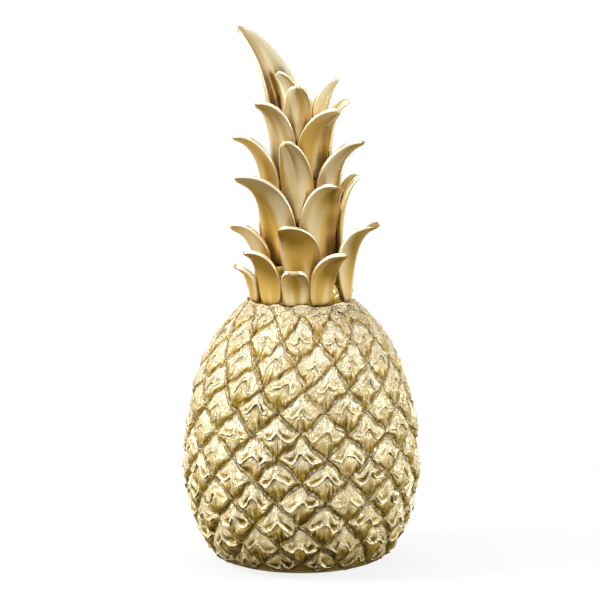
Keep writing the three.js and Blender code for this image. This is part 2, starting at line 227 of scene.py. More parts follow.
deselect()
bpy.ops.mesh.primitive_plane_add(size=FLOOR_SIZE, location=(0, 0, -FLOOR_DROP))
floor = bpy.context.object
floor.name = "floor"
bpy.ops.object.transform_apply(location=True)
paper, tree = new_material("pale_paper")
outputs = Signal.node(tree, "ShaderNodeLightPath").socket.node.outputs
seen = Signal(outputs["Is Camera Ray"]).math("MAXIMUM", Signal(outputs["Is Glossy Ray"]))
diffuse = Signal.node(tree, "ShaderNodeBsdfDiffuse", None, {"Color": PAPER})
glow = Signal.node(tree, "ShaderNodeEmission", None, {"Color": WHITE, "Strength": 1})
length = {"operation": "LENGTH"}
distance = Signal.node(tree, "ShaderNodeVectorMath", length, {0: object_place(tree)}, LENGTH_OUTPUT)
whitening = FLOOR_WHITENING + distance.ramp(0, SHADOW_REACH) * (1 - FLOOR_WHITENING)
sheet = Signal.node(tree, "ShaderNodeMixShader", None, {0: seen * whitening, 1: diffuse, 2: glow})
Signal.node(tree, "ShaderNodeOutputMaterial", None, {"Surface": sheet})
floor.data.materials.append(paper)
print("floor:", FLOOR_SIZE, "m of paper")

# %% Lamps
LAMPS = {
    "key": ((-1.15, -0.3, 1.0), 0.4, 19),
    "top": ((-0.1, 0.15, 1.2), 0.8, 5),
    "fill": ((1.2, -0.35, 0.5), 0.3, 11),
    "side": ((-1.25, -0.35, 0.2), 0.9, 6.5),
}
for name, (place, size, power) in LAMPS.items():
    lamp = bpy.data.lights.new(name, "AREA")
    lamp.size = size
    lamp.energy = power
    holder = bpy.data.objects.new(name, lamp)
    holder.location = place
    holder.rotation_euler = (CAMERA_AIM - Vector(place)).to_track_quat("-Z", "Y").to_euler()
    bpy.context.scene.collection.objects.link(holder)
print("studio:", len(LAMPS), "soft lamps")

# %% [markdown]
# ## The lattice of eyes
# A pineapple's eyes are diamonds in staggered rings. On the figurine they lie on a fruit whose outline is
# two half ellipses that meet at the belly, and the rings near the shoulder turn a little to the right. The
# same few numbers that shaped the solid place the eyes here, so the relief sits where the frame has it.

# %% Sizes of the fruit
SEAT_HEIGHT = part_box("fruit_body")[1][2]
BELLY_RADIUS = 0.0558
BELLY_HEIGHT = 0.046
BASE_RADIUS = 0.0366
SHOULDER_RADIUS = 0.0257
LOWER_RELIEF = 0.0043
UPPER_RELIEF = 0.0025
EYES_PER_RING = 15
RING_COUNT = 12
FIRST_RING_HEIGHT = 0.0065
LOWEST_CORNER_HEIGHT = 0.0022
LAST_RING_DROP = 0.005
HIGHEST_CORNER_DROP = 0.0008
LAST_RING_HEIGHT = SEAT_HEIGHT - LAST_RING_DROP
HIGHEST_CORNER_HEIGHT = SEAT_HEIGHT - HIGHEST_CORNER_DROP
TURN_DROP = 0.0402
TURN_ANGLE = math.radians(13)
EYE_PITCH = math.tau / EYES_PER_RING
LEVEL_HEIGHT = 0.03
SHOULDER_RAISE = 0.0012
FOOT_RAISE = 0.0012
FOOT_SPREAD = 0.014
RAISE_HEIGHT = 0.098
RAISE_SPREAD = 0.022

UPPER_SEMI_AXIS = (SEAT_HEIGHT - BELLY_HEIGHT) / math.sqrt(1 - (SHOULDER_RADIUS / BELLY_RADIUS) ** 2)
LOWER_SEMI_AXIS = BELLY_HEIGHT / math.sqrt(1 - (BASE_RADIUS / BELLY_RADIUS) ** 2)
print("belly", round(2 * BELLY_RADIUS, 4), "m across, seat at", round(SEAT_HEIGHT, 4), "m")


# %% Outline, relief and turn
def smooth(value, start, end):
    share = np.clip((value - start) / (end - start), 0, 1)
    return share * share * (3 - 2 * share)


def bell(value, width):
    return np.exp(-((value / width) ** 2))


def semi_axis(height):
    return np.where(height > BELLY_HEIGHT, UPPER_SEMI_AXIS, LOWER_SEMI_AXIS)


def lip_radius(height):
    return BELLY_RADIUS * np.sqrt(np.clip(1 - ((height - BELLY_HEIGHT) / semi_axis(height)) ** 2, 0, 1))


def relief_at(height):
    return LOWER_RELIEF + (UPPER_RELIEF - LOWER_RELIEF) * height / SEAT_HEIGHT


def groove_radius(height):
    return lip_radius(height) - relief_at(height)


def turn_at(height):
    """The upper rings turn to the right on their way to the shoulder."""
    start = SEAT_HEIGHT - TURN_DROP
    share = np.clip((height - start) / (LAST_RING_HEIGHT - start), 0, 1)
    return TURN_ANGLE * np.sin(share * math.pi / 2)


print("the relief goes from", LOWER_RELIEF, "m at the foot to", UPPER_RELIEF, "m at the seat")


# %% Places on the fruit
def ring_height(ring):
    if ring < 0:
        return LOWEST_CORNER_HEIGHT
    if ring == RING_COUNT:
        return HIGHEST_CORNER_HEIGHT
    return FIRST_RING_HEIGHT + (LAST_RING_HEIGHT - FIRST_RING_HEIGHT) * ring / (RING_COUNT - 1)


def circle(angles, radius, height):
    """Points round the axis. Angle 0 is the front. Radius and height may differ from point to point."""
    ones = np.ones_like(angles)
    return np.stack([radius * np.sin(angles), -radius * np.cos(angles), height * ones], -1)


def on_fruit(azimuth, height, lift):
    """Points at a lift over the grooves, along the outline's own normal."""
    radial = lip_radius(height) / BELLY_RADIUS**2
    upward = (height - BELLY_HEIGHT) / semi_axis(height) ** 2 * smooth(height, 0, LEVEL_HEIGHT)
    length = np.hypot(radial, upward)
    lift = lift + SHOULDER_RAISE * bell(height - RAISE_HEIGHT, RAISE_SPREAD)
    lift = lift + FOOT_RAISE * bell(height, FOOT_SPREAD)
    return circle(azimuth, groove_radius(height) + lift * radial / length, height + lift * upward / length)


print("rings are about", round(ring_height(1) - ring_height(0), 4), "m apart")

# %% [markdown]
# ## One eye
# Seen close, an eye is a pale tent that rises from its top corner to a curled lip in the shape of an M.
# Each half of the M has an almond pocket behind its rim. Under the lip the surface steps back to a dome
# whose ribs spread like a fringe over the dark groove below. The eye starts as a flat grid: its middle row
# is bent into the lip, and its columns run from there to the edges, so that the rims and the ribs follow
# the faces. Its height is a formula, because 180 eyes that all differ a little are quicker to describe than
# to carve.

# %% The grid of an eye
COLUMNS = 32
LIP_ROWS = 8

deselect()
bpy.ops.mesh.primitive_grid_add(x_subdivisions=COLUMNS, y_subdivisions=2 * LIP_ROWS, size=2)
eye_grid = bpy.context.object
flat = np.array([vertex.co[:2] for vertex in eye_grid.data.vertices])
eye_faces = np.array([list(face.vertices) for face in eye_grid.data.polygons])
bpy.data.objects.remove(eye_grid)
print("an eye has", len(eye_faces), "faces")

# %% [markdown]
# ### What differs from eye to eye
# Chance gives each eye its own lip, crispness and ribs. Here and in the next cells places and widths are
# shares of an eye's half width, heights are shares of its relief, and a pair holds a least value and what
# comes on top of it. A bold eye, low on the fruit, has a wider and crisper lip than a flat one near the
# shoulder.

# %% Chance
HALF = 0.5
NOTCH_DEPTHS = (0.14, 0.24)
LOBE_RISES = (0.06, 0.12)
LOBE_PLACES = (0.25, 0.18)
LIP_ENDS = (0.27, 0.43)
LIP_SWAY = 0.1
SKEW = 0.34
LEVEL_SWAY = 0.16
UNEVENNESS = 1.1
BOLDNESSES = (0.78, 0.4)
CRISPNESSES = (0.35, 0.65)
CHANCE_CRISPNESSES = (0.2, 0.8)
CRISP_POWERS = (1.6, -1.2)


def draw(rng, least, reach):
    return least + reach * rng.random()


def sway(rng, reach):
    return reach * (rng.random() - HALF)


def ranged(pair, share):
    least, reach = pair
    return least + reach * share


def draw_eye(rng, vigour, boldest):
    """What chance decides for one eye. Vigour is 1 for a bold eye and 0 for a flat one."""
    eye = SimpleNamespace(vigour=vigour)
    eye.notch = draw(rng, *NOTCH_DEPTHS)
    eye.lobe = draw(rng, *LOBE_RISES)
    eye.skew = sway(rng, SKEW)
    eye.lobe_place = ranged(LOBE_PLACES, vigour) + sway(rng, LIP_SWAY)
    eye.lip_end = draw(rng, ranged(LIP_ENDS, vigour), LIP_SWAY)
    eye.level = sway(rng, LEVEL_SWAY)
    eye.phases = rng.random(3) * math.tau
    eye.uneven = sway(rng, UNEVENNESS)
    eye.boldness = draw(rng, *BOLDNESSES)
    chance = rng.random() ** ranged(CRISP_POWERS, boldest)
    eye.crispness = ranged(CRISPNESSES, vigour) * ranged(CHANCE_CRISPNESSES, chance)
    eye.teeth, eye.jags = 2 * rng.random((2, COLUMNS + 1)) - 1
    return eye


print("lips end between", LIP_ENDS[0], "and", round(sum(LIP_ENDS) + LIP_SWAY, 2), "of the half width")

# %% Bending the grid into the lip
LIP_SPREAD = 0.74
ROW_POWER = 1.5
JAG = 0.022
NOTCH_WIDTH = 0.19
LOBE_OFFSET = 0.04
LOBE_WIDTH = 0.22
CORNER_POWER = 4
THINNEST = 0.02
ROW_SLACK = 0.01
LIP_FADE = (0.14, 0.06)
FOLD_WAVES = (5, 21)
WRINKLE_WAVES = (4, 13)
WRINKLE_SHARPNESS = 1.6
RIB_SPAN = (0.12, 0.5)
WAVE_PITCHES = (0.4, 0.6)


def crumple(rng, x, y, count, finest):
    """A sum of waves in random directions, as a hand-pressed clay surface has: mostly between -1 and 1."""
    total = np.zeros_like(x)
    for _ in range(count):
        angle, phase = rng.random() * math.tau, rng.random() * math.tau
        pitch = finest * draw(rng, *WAVE_PITCHES)
        total += np.cos(pitch * (x * math.cos(angle) + y * math.sin(angle)) + phase)
    return total / math.sqrt(count)


def lay_out(rng, eye):
    """Where each vertex lies in the eye, how it lies to the lip's line, and the crumples and ribs there."""
    column, row = flat[:, 0], flat[:, 1]
    from_lip = np.abs(row)
    lip_place = column * (LIP_SPREAD + (1 - LIP_SPREAD) * column**2)
    eye.x = lip_place + (column - lip_place) * from_lip
    eye.aside = np.abs(eye.x)
    which = np.rint((column + 1) / 2 * COLUMNS).astype(int)
    line = eye.level + JAG * eye.jags[which] + eye.notch * bell(eye.x, NOTCH_WIDTH)
    line = line - eye.lobe * bell(eye.aside - eye.lobe_place - LOBE_OFFSET, LOBE_WIDTH) + eye.skew * eye.x
    line = line * (1 - eye.aside**CORNER_POWER)
    edge = np.sign(row) * (1 - np.abs(column))
    eye.y = line + from_lip**ROW_POWER * (edge - line)

    eye.above = eye.y - line
    eye.upper = np.clip(eye.above / np.maximum(1 - eye.aside - line, THINNEST), 0, 1)
    eye.lower = np.clip(-eye.above / np.maximum(1 - eye.aside + line, THINNEST), 0, 1)
    eye.is_upper = row > -ROW_SLACK
    eye.rim_distance = np.clip(1 - eye.aside - np.abs(eye.y), 0, 1)
    eye.lip_here = 1 - smooth(eye.aside, eye.lip_end - LIP_FADE[0], eye.lip_end + LIP_FADE[1])
    eye.folds = crumple(rng, eye.x, eye.y, *FOLD_WAVES)
    eye.wrinkles = 1 - WRINKLE_SHARPNESS * np.abs(crumple(rng, eye.x, eye.y, *WRINKLE_WAVES))
    eye.ribs = eye.teeth[which] * smooth(eye.lower, *RIB_SPAN)


print("the lip's line has", COLUMNS + 1, "points")

# %% [markdown]
# ### The height of an eye
# Over the lip lies the tent, with its pockets, its bead along the rim and a ridge down its middle. Under
# the lip lies the dome with its ribs. Beside the lip both run out into a plain flank, and a pillow rounds
# everything off towards the grooves.

# %% Tent
LIP_HEIGHT = 0.84
LIP_EDGE = 0.015
POCKET_PLACE = 0.15
POCKET_WIDTH = 0.075
POCKET_INSET = 0.06
POCKET_LENGTH = 0.23
POCKET_DEPTH = 0.42
LIP_BEAD_PLACE = 0.02
LIP_BEAD_WIDTH = 0.05
LIP_BEAD_RISES = (0.04, 0.12)
RIDGE_WIDTH = 0.08
RIDGE_PLACE = 0.14
RIDGE_LENGTH = 0.16
RIDGE_RISE = 0.1
TENT_TOP = 1.1
TENT_STARTS = (0.6, -0.4)
TENT_POWER = 0.8
STREAK_PITCHES = (15, 25)
FINE_STREAK_SHARE = 0.8
STREAK_HEIGHT = 0.07
STREAK_START = 0.35
STREAK_FADE = 0.5


def tent_of(eye):
    """The pale slope over the lip."""
    eye.pocket = bell(eye.above - POCKET_PLACE, POCKET_WIDTH)
    eye.pocket = eye.pocket * bell(eye.aside - eye.lobe_place + POCKET_INSET, POCKET_LENGTH)
    eye.pocket = eye.pocket * eye.is_upper * (1 + eye.uneven * np.sign(eye.x))
    bead = bell(eye.above - LIP_BEAD_PLACE, LIP_BEAD_WIDTH) * eye.is_upper * eye.lip_here
    eye.ridge = bell(eye.x, RIDGE_WIDTH) * bell(eye.above - RIDGE_PLACE, RIDGE_LENGTH) * eye.is_upper
    eye.angle = np.arctan2(eye.x, TENT_TOP - eye.y)
    coarse, fine = (np.cos(pitch * eye.angle + phase) for pitch, phase in zip(STREAK_PITCHES, eye.phases))
    streaks = coarse + FINE_STREAK_SHARE * fine
    start = ranged(TENT_STARTS, eye.vigour)
    tent = start + (LIP_HEIGHT - start) * (1 - eye.upper) ** TENT_POWER
    tent = tent + STREAK_HEIGHT * streaks * smooth(eye.upper, 0, STREAK_START) * (1 - STREAK_FADE * eye.upper)
    carving = RIDGE_RISE * eye.ridge - POCKET_DEPTH * eye.pocket
    return tent + ranged(LIP_BEAD_RISES, eye.crispness) * bead + eye.crispness * carving


print("the tent ends in a lip at", LIP_HEIGHT, "of the relief")

# %% Dome
DOME_HEIGHTS = (0.5, -0.14)
SWELL_SPAN = (0.2, 0.75)
SWELL_HEIGHT = 0.36
RIB_HEIGHT = 0.17
UNDERCUT_PLACE = 0.05
UNDERCUT_WIDTH = 0.05
UNDERCUT_DEPTH = 0.3


def dome_of(eye):
    """The ribbed belly under the lip."""
    swell = np.sin(math.pi * np.clip(eye.lower * SWELL_SPAN[1] + SWELL_SPAN[0], 0, 1))
    undercut = eye.lip_here * bell(eye.above + UNDERCUT_PLACE, UNDERCUT_WIDTH)
    undercut = undercut * UNDERCUT_DEPTH * eye.crispness
    dome = ranged(DOME_HEIGHTS, eye.crispness) + SWELL_HEIGHT * swell + RIB_HEIGHT * eye.ribs - undercut
    return dome + (LIP_HEIGHT - dome) * bell(eye.above, LIP_EDGE) * eye.lip_here


print("the dome starts", round(LIP_HEIGHT - DOME_HEIGHTS[0], 2), "of the relief under the lip, or deeper")

# %% Flank and the whole height
FLANK_HEIGHTS = (0.66, -0.1)
MIDDLE_WIDTH = 0.45
FOLD_HEIGHTS = (0.05, 0.05)
WRINKLE_HEIGHT = 0.07
WRINKLE_FLOOR = -0.5
EDGE_WIDTHS = (0.05, 0.1)
RIB_CUT = 0.6
OVERHANGS = (0.03, 0.06)
CURL_WIDTH = 0.06


def height_of(eye):
    """The height of each vertex, and how far the lip hangs over."""
    flank = ranged(FLANK_HEIGHTS, eye.vigour)
    carved = np.where(eye.is_upper, tent_of(eye), dome_of(eye))
    body = flank + (carved - flank) * np.maximum(eye.lip_here, bell(eye.x, MIDDLE_WIDTH))
    body = body + ranged(FOLD_HEIGHTS, eye.vigour) * eye.folds
    body = body + WRINKLE_HEIGHT * np.clip(eye.wrinkles, WRINKLE_FLOOR, 1)
    edge_width = np.where(eye.y > 0, EDGE_WIDTHS[0], ranged(EDGE_WIDTHS, eye.vigour))
    pillow = 1 - np.exp(-eye.rim_distance / (edge_width * (1 - RIB_CUT * eye.ribs)))
    curl = np.where(eye.is_upper, bell(eye.above, CURL_WIDTH), bell(eye.above, LIP_EDGE))
    return body * pillow * eye.boldness, ranged(OVERHANGS, eye.crispness) * eye.lip_here * curl * pillow


print("the lip hangs over by up to", round(sum(OVERHANGS), 2), "of an eye's half height")

# %% [markdown]
# ### Where the wash and the painted shade lie
# Brown wash and painted shade lie in the grooves, most of it under the right half of an eye, which faces
# away from the light, and in the pockets. A painted shadow lies under the lip and painted shade on the lower
# part of the dome, while raised folds, ribs and ridges get painted highlight. These numbers go with the
# vertices as attributes, so that the shader can read them. A low seam, raised along the edges between
# neighbours, keeps the grooves from closing into black lines.

# %% Shade
GROOVE_REACHES = (0.7, 0.3)
RIGHT_GROOVE = (1.2, 0.22)
LEFT_GROOVE = (0.5, 0.14)
UPPER_GROOVE = (0.25, 0.03)
LIP_SHADE_PLACE = 0.06
LIP_SHADE_WIDTH = 0.05
LIP_SHADES = (0.3, 0.5)
POCKET_SHADE = 1.1
FOLD_LIGHT = 0.18
WRINKLE_LIGHT = 0.15
DOME_SHADE = 0.25
DOME_SHADE_SPAN = (0.2, 0.8)
RIB_LIGHT = 0.3
RIDGE_LIGHT = 0.4
HIGH_FOLD_LIGHT = 0.35
HIGH_FOLD = 0.5


def shade_of(eye):
    """The shares of wash with painted shade, of painted highlight and of underside at each vertex."""
    reach = ranged(GROOVE_REACHES, eye.vigour)
    # painted shade: the groove under an eye's right half, away from the light, is darker than under its left
    sides = (RIGHT_GROOVE, LEFT_GROOVE)
    right, left = (depth * bell(eye.rim_distance, width * reach) for depth, width in sides)
    top = UPPER_GROOVE[0] * np.exp(-eye.rim_distance / UPPER_GROOVE[1])
    groove = np.where(eye.is_upper, top, np.where(eye.x > 0, right, left))
    # painted shadow under the lip
    under = ~eye.is_upper * bell(eye.above + LIP_SHADE_PLACE, LIP_SHADE_WIDTH) * eye.lip_here
    shade = groove * (1 - RIB_CUT * eye.ribs) + under * ranged(LIP_SHADES, eye.crispness)
    # pockets darkened by painted shade; raised folds and wrinkles lightened by painted highlight
    shade = shade + POCKET_SHADE * eye.pocket * eye.crispness
    shade = shade - FOLD_LIGHT * eye.folds - WRINKLE_LIGHT * eye.wrinkles
    # painted shade on the lower part of the dome, lightened on the ribs
    shade = shade + DOME_SHADE * ~eye.is_upper * smooth(eye.lower, *DOME_SHADE_SPAN) - RIB_LIGHT * eye.ribs
    # painted highlight on the ridge and on the highest folds
    rim = RIDGE_LIGHT * eye.ridge * eye.crispness + HIGH_FOLD_LIGHT * np.clip(eye.folds - HIGH_FOLD, 0, 1)
    return np.clip(shade, 0, 1), np.clip(rim, 0, 1), ~eye.is_upper * eye.lower


print("grooves hold", RIGHT_GROOVE[0], "of wash on the right and", LEFT_GROOVE[0], "on the left")

# %% Maps and seam
DOME_TOP = 0.1
TENT_SPREAD = 1.6
MAP_REACH = 50
SEAM_FADE = 0.08
LEFT_SEAM_SHARE = 0.4
SEAM_WIDTH = 0.06


def maps_of(rng, eye):
    """Coordinates for the shader: a fan of streaks, the place by the lip, and the plan of the eye."""
    spread = np.where(eye.is_upper, eye.angle * TENT_SPREAD, np.arctan2(eye.x, DOME_TOP - eye.y))
    along = np.hypot(eye.x, eye.y - np.where(eye.is_upper, TENT_TOP, DOME_TOP))
    fan = np.stack([spread, along, np.full_like(along, rng.random() * MAP_REACH)], -1)
    lips = np.stack([eye.aside - eye.lobe_place + POCKET_INSET, eye.above, eye.crispness * eye.lip_here], -1)
    return fan, lips, np.stack([eye.x, eye.y, np.full_like(along, eye.vigour)], -1)


def seam_of(eye):
    """The low seam along the edges. It takes only places on the edge, so that neighbours agree on it."""
    product = eye.x * eye.y
    share = smooth(product, 0, SEAM_FADE) + LEFT_SEAM_SHARE * smooth(-product, 0, SEAM_FADE)
    return share * bell(eye.rim_distance, SEAM_WIDTH)


print("each vertex carries 3 shares and 3 maps")

# %% [markdown]
# ## Wrapping the eyes round the fruit
# Every eye is laid on the outline in its ring, and its height goes along the outline's normal. The corners
# and edges of neighbours fall on the same points, so merging by distance joins them into one skin.

# %% All the eyes
EYE_SEED = 20
MERGE_DISTANCE = 0.000005
LIFT_SHARES = (0.95, 1, 0.97, 0.92, 0.9, 0.92, 0.92, 0.88, 0.8, 0.72, 0.72, 0.75)
SEAM_HEIGHT = 0.0013
SEAM_START_HEIGHT = 0.04
DRIFT = 0.0007
DRIFT_WAVES = 10
DRIFT_TURNS = (12, 46)
DRIFT_PITCH = 700
VIGOUR_FADE = (0.4, 0.85)
VIGOUR_LOSS = 0.6
BOLDEST_FADE = (0.2, 0.5)

rng = np.random.default_rng(EYE_SEED)
drift_waves = [
    (rng.integers(*DRIFT_TURNS), sway(rng, DRIFT_PITCH), rng.random(2) * math.tau) for _ in range(DRIFT_WAVES)
]


def drift(azimuth, height):
    """The lattice was drawn by hand: how far its lines stray sideways and upwards at a place, in metres."""
    size = DRIFT / math.sqrt(DRIFT_WAVES)
    angles = [turns * azimuth + pitch * height for turns, pitch, _ in drift_waves]
    phases = [phase for _, _, phase in drift_waves]
    return [size * sum(np.sin(angle + phase[i]) for angle, phase in zip(angles, phases)) for i in (0, 1)]


points, faces, paints, maps = [], [], [], []
grid_size = len(flat)
for ring in range(RING_COUNT):
    middle, above_it, below_it = ring_height(ring), ring_height(ring + 1), ring_height(ring - 1)
    share = ring / (RING_COUNT - 1)
    vigour = 1 - VIGOUR_LOSS * float(smooth(share, *VIGOUR_FADE))
    boldest = 1 - float(smooth(share, *BOLDEST_FADE))
    for position in range(EYES_PER_RING):
        eye = draw_eye(rng, vigour, boldest)
        lay_out(rng, eye)
        lift, overhang = height_of(eye)
        paints.append(np.stack(shade_of(eye), -1))
        maps.append(maps_of(rng, eye))
        x, y = eye.x, eye.y - overhang
        height = np.where(y > 0, middle + (above_it - middle) * y, middle + (middle - below_it) * y)
        azimuth = (position + (0 if ring % 2 else HALF)) * EYE_PITCH + x * EYE_PITCH / 2 + turn_at(height)
        sideways, upwards = drift(azimuth, height)
        azimuth, height = azimuth + sideways / lip_radius(height), height + upwards
        lift = lift * relief_at(height) * LIFT_SHARES[ring]
        lift = lift + seam_of(eye) * SEAM_HEIGHT * smooth(height, 0, SEAM_START_HEIGHT)
        faces.append(eye_faces + len(points) * grid_size)
        points.append(on_fruit(azimuth, height, lift))
print(len(points), "eyes,", len(points) * len(eye_faces), "faces")

# %% [markdown]
# ## The foot and the shoulder
# Under the lowest eyes a plain band turns in to the foot, with a recess for the felt and a rebate for the
# plug. Over the highest ones small knobs fill the notches, and a crumpled collar of paint lies round the
# flat seat with the socket for the crown. Both are rings of points that start at the zigzag edge of the
# eyes and follow a short outline, as a lathe tool would. The hand-drawn edge strays, so the rings move its
# points towards even steps.

# %% Edges of the lattice
def zigzag(ring, row):
    """The edge of a ring of eyes along the lowest (-1) or highest (1) row of each, from left to right."""
    wanted = np.flatnonzero(np.isclose(flat[:, 1], row))
    wanted = wanted[np.argsort(flat[wanted, 0])][:-1]
    return np.concatenate([points[ring * EYES_PER_RING + eye][wanted] for eye in range(EYES_PER_RING)])


def evened(ring_points, share):
    """The azimuths of a ring's points, moved by a share towards even steps, so that no two fall together."""
    angles = np.unwrap(np.arctan2(ring_points[:, 0], -ring_points[:, 1]))
    steps = np.arange(len(angles)) - (len(angles) - 1) / 2
    return angles + (angles.mean() + steps * math.tau / len(angles) - angles) * share


low_edge, high_edge = zigzag(0, -1), zigzag(RING_COUNT - 1, 1)
print("each edge has", len(low_edge), "points")

# %% Rings of the foot
pad_low, pad_high = (Vector(corner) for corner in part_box("felt_pad"))
plug_low, plug_high = (Vector(corner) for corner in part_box("base_plug"))
RIM_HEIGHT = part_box("fruit_body")[0][2]
CLEARANCE = 0.0003
FOOT_INSET = 0.0046
FOOT_RADIUS = BASE_RADIUS - FOOT_INSET
EDGE_ROUND = 0.0005
BAND_ROWS = 5
BAND_POWER = 4

low_radius = np.hypot(low_edge[:, 0], low_edge[:, 1])
foot_rings = [low_edge]
for step in range(1, BAND_ROWS + 1):
    share = step / BAND_ROWS
    height = low_edge[:, 2] + (RIM_HEIGHT + EDGE_ROUND - low_edge[:, 2]) * share
    radius = low_radius + (FOOT_RADIUS + EDGE_ROUND / 2 - low_radius) * share**BAND_POWER
    foot_rings.append(circle(evened(low_edge, share), radius, height))
pad_radius = (pad_high.x - pad_low.x) / 2 + CLEARANCE
rebate_radius = (plug_high.x - plug_low.x) / 2 + CLEARANCE
foot_profile = [
    (FOOT_RADIUS - EDGE_ROUND, RIM_HEIGHT),
    (pad_radius, RIM_HEIGHT),
    (pad_radius, pad_high.z + CLEARANCE),
    (rebate_radius, pad_high.z + CLEARANCE),
    (rebate_radius, plug_high.z + CLEARANCE),
    (0, plug_high.z + CLEARANCE),
]
angles = evened(low_edge, 1)
foot_rings += [circle(angles, radius, height) for radius, height in foot_profile]
print("foot:", len(foot_rings), "rings")

# %% Rings of the shoulder
SEAT_INSET = 0.0008
SEAT_RADIUS = SHOULDER_RADIUS - SEAT_INSET
SOCKET_RADIUS = 0.014
KNOB_ROWS = 4
KNOB_POWER = 0.6
LUMP_WIDTH = 4
LUMPS = (0.75, 0.5)
COLLAR_HEIGHT = 0.0013
COLLAR_WIDTH = 0.0004
COLLAR_WAVES = (6, 22)
COLLAR_LEVELS = (0.5, 0.6)
LEAST_COLLAR = 0.05
COLLAR_BULGE = 0.8
COLLAR_SHARES = ((1, 0.5), (0.6, 1), (-0.2, 0.9), (-0.5, 0))

seat_rings = [high_edge]
notch_depth = SEAT_HEIGHT - high_edge[:, 2]
lumps = ranged(LUMPS, np.repeat(rng.random(len(high_edge) // LUMP_WIDTH), LUMP_WIDTH))
for step in range(1, KNOB_ROWS + 1):
    share = step / KNOB_ROWS
    height = high_edge[:, 2] + (notch_depth - EDGE_ROUND) * share
    knob = UPPER_RELIEF * math.sin(share * math.pi) ** KNOB_POWER * notch_depth / notch_depth.max()
    radius = groove_radius(height) * (1 - share) + SEAT_RADIUS * share + knob * lumps
    seat_rings.append(circle(evened(high_edge, share), radius, height))
angles = evened(high_edge, 1)
up_waves, out_waves = (crumple(rng, np.cos(angles), np.sin(angles), *COLLAR_WAVES) for _ in range(2))
collar = COLLAR_HEIGHT * np.clip(ranged(COLLAR_LEVELS, up_waves), LEAST_COLLAR, 1)
for outwards, share in COLLAR_SHARES:
    bulge = outwards * COLLAR_WIDTH * (1 + COLLAR_BULGE * out_waves * (outwards > 0))
    seat_rings.append(circle(angles, SEAT_RADIUS + bulge, SEAT_HEIGHT + collar * share))
core_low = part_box("crown_core")[0][2]
seat_profile = [
    (SOCKET_RADIUS, SEAT_HEIGHT),
    (SOCKET_RADIUS, core_low - CLEARANCE),
    (0, core_low - CLEARANCE),
]
seat_rings += [circle(angles, radius, height) for radius, height in seat_profile]
print("shoulder and seat:", len(seat_rings), "rings")

# %% Joining the rings
# shares of wash with painted shade, of painted highlight and of underside: the foot band and each edge row
# are shaded dark, the seat gets a little painted highlight
BAND_PAINT = (0.55, 0, 1)
SEAT_PAINT = (0.05, 0.2, 0)
EDGE_PAINT = (1, 0, 0.5)
FAR_FROM_LIP = (1.0, -1.0, 0.0)
MIDDLE_OF_EYE = (0.0, 0.0, 0.0)
RING_FAN_SCALE = 100


def add_rings(rings, outwards_down, paint):
    """Join rings of points with quads. The last ring lies on the axis."""
    count = len(rings[0])
    offset = sum(len(block) for block in points)
    for index in range(len(rings) - 1):
        first = offset + index * count + np.arange(count)
        second = first + count
        quads = np.stack([first, second, np.roll(second, -1), np.roll(first, -1)], -1)
        faces.append(quads if outwards_down else quads[:, ::-1])
    points.append(np.concatenate(rings))
    shares = np.tile(np.array(paint, float), (count * len(rings), 1))
    shares[:count] = EDGE_PAINT
    paints.append(shares)
    plain = [np.tile(values, (len(points[-1]), 1)) for values in (FAR_FROM_LIP, MIDDLE_OF_EYE)]
    maps.append((points[-1] * RING_FAN_SCALE, *plain))


add_rings(foot_rings, True, BAND_PAINT)
add_rings(seat_rings, False, SEAT_PAINT)
print("foot and seat:", len(foot_rings) + len(seat_rings), "rings of", len(low_edge), "points")

# %% [markdown]
# ## One closed skin
# All the points go into one mesh with their shares and maps as attributes. Merging by distance then makes
# one skin of it. How far each part faces down is kept too, because painted shade darkens those parts.

# %% Helpers for a mesh
def add_object(name, mesh):
    """A new object that is the only one selected."""
    thing = bpy.data.objects.new(name, mesh)
    bpy.context.scene.collection.objects.link(thing)
    deselect()
    thing.select_set(True)
    bpy.context.view_layer.objects.active = thing
    return thing


def edit_all(operator, **settings):
    """Use an operator of edit mode on all of the active mesh."""
    bpy.ops.object.mode_set(mode="EDIT")
    bpy.ops.mesh.select_all(action="SELECT")
    operator(**settings)
    bpy.ops.object.mode_set(mode="OBJECT")


def write(mesh, name, values, domain="POINT"):
    """Keep one number for each vertex, or for each edge."""
    layer = mesh.attributes.new(name, "FLOAT", domain)
    layer.data.foreach_set("value", np.asarray(values, np.float32))


def facing_down(mesh):
    """1 where a vertex faces straight down, -1 where it faces up."""
    return np.array([-normal.vector[2] for normal in mesh.vertex_normals])


def measure(thing):
    """How many triangles there are, and how many edges that don't have two faces."""
    triangles = sum(len(face.vertices) - 2 for face in thing.data.polygons)
    counts = np.zeros(len(thing.data.edges), int)
    loops = np.zeros(len(thing.data.loops), int)
    thing.data.loops.foreach_get("edge_index", loops)
    np.add.at(counts, loops, 1)
    return triangles, int((counts != 2).sum())


print("points to join:", sum(len(block) for block in points))

# %% The fruit's mesh
CREASE_ANGLE = math.radians(50)
DEGENERATE_DIVISOR = 10

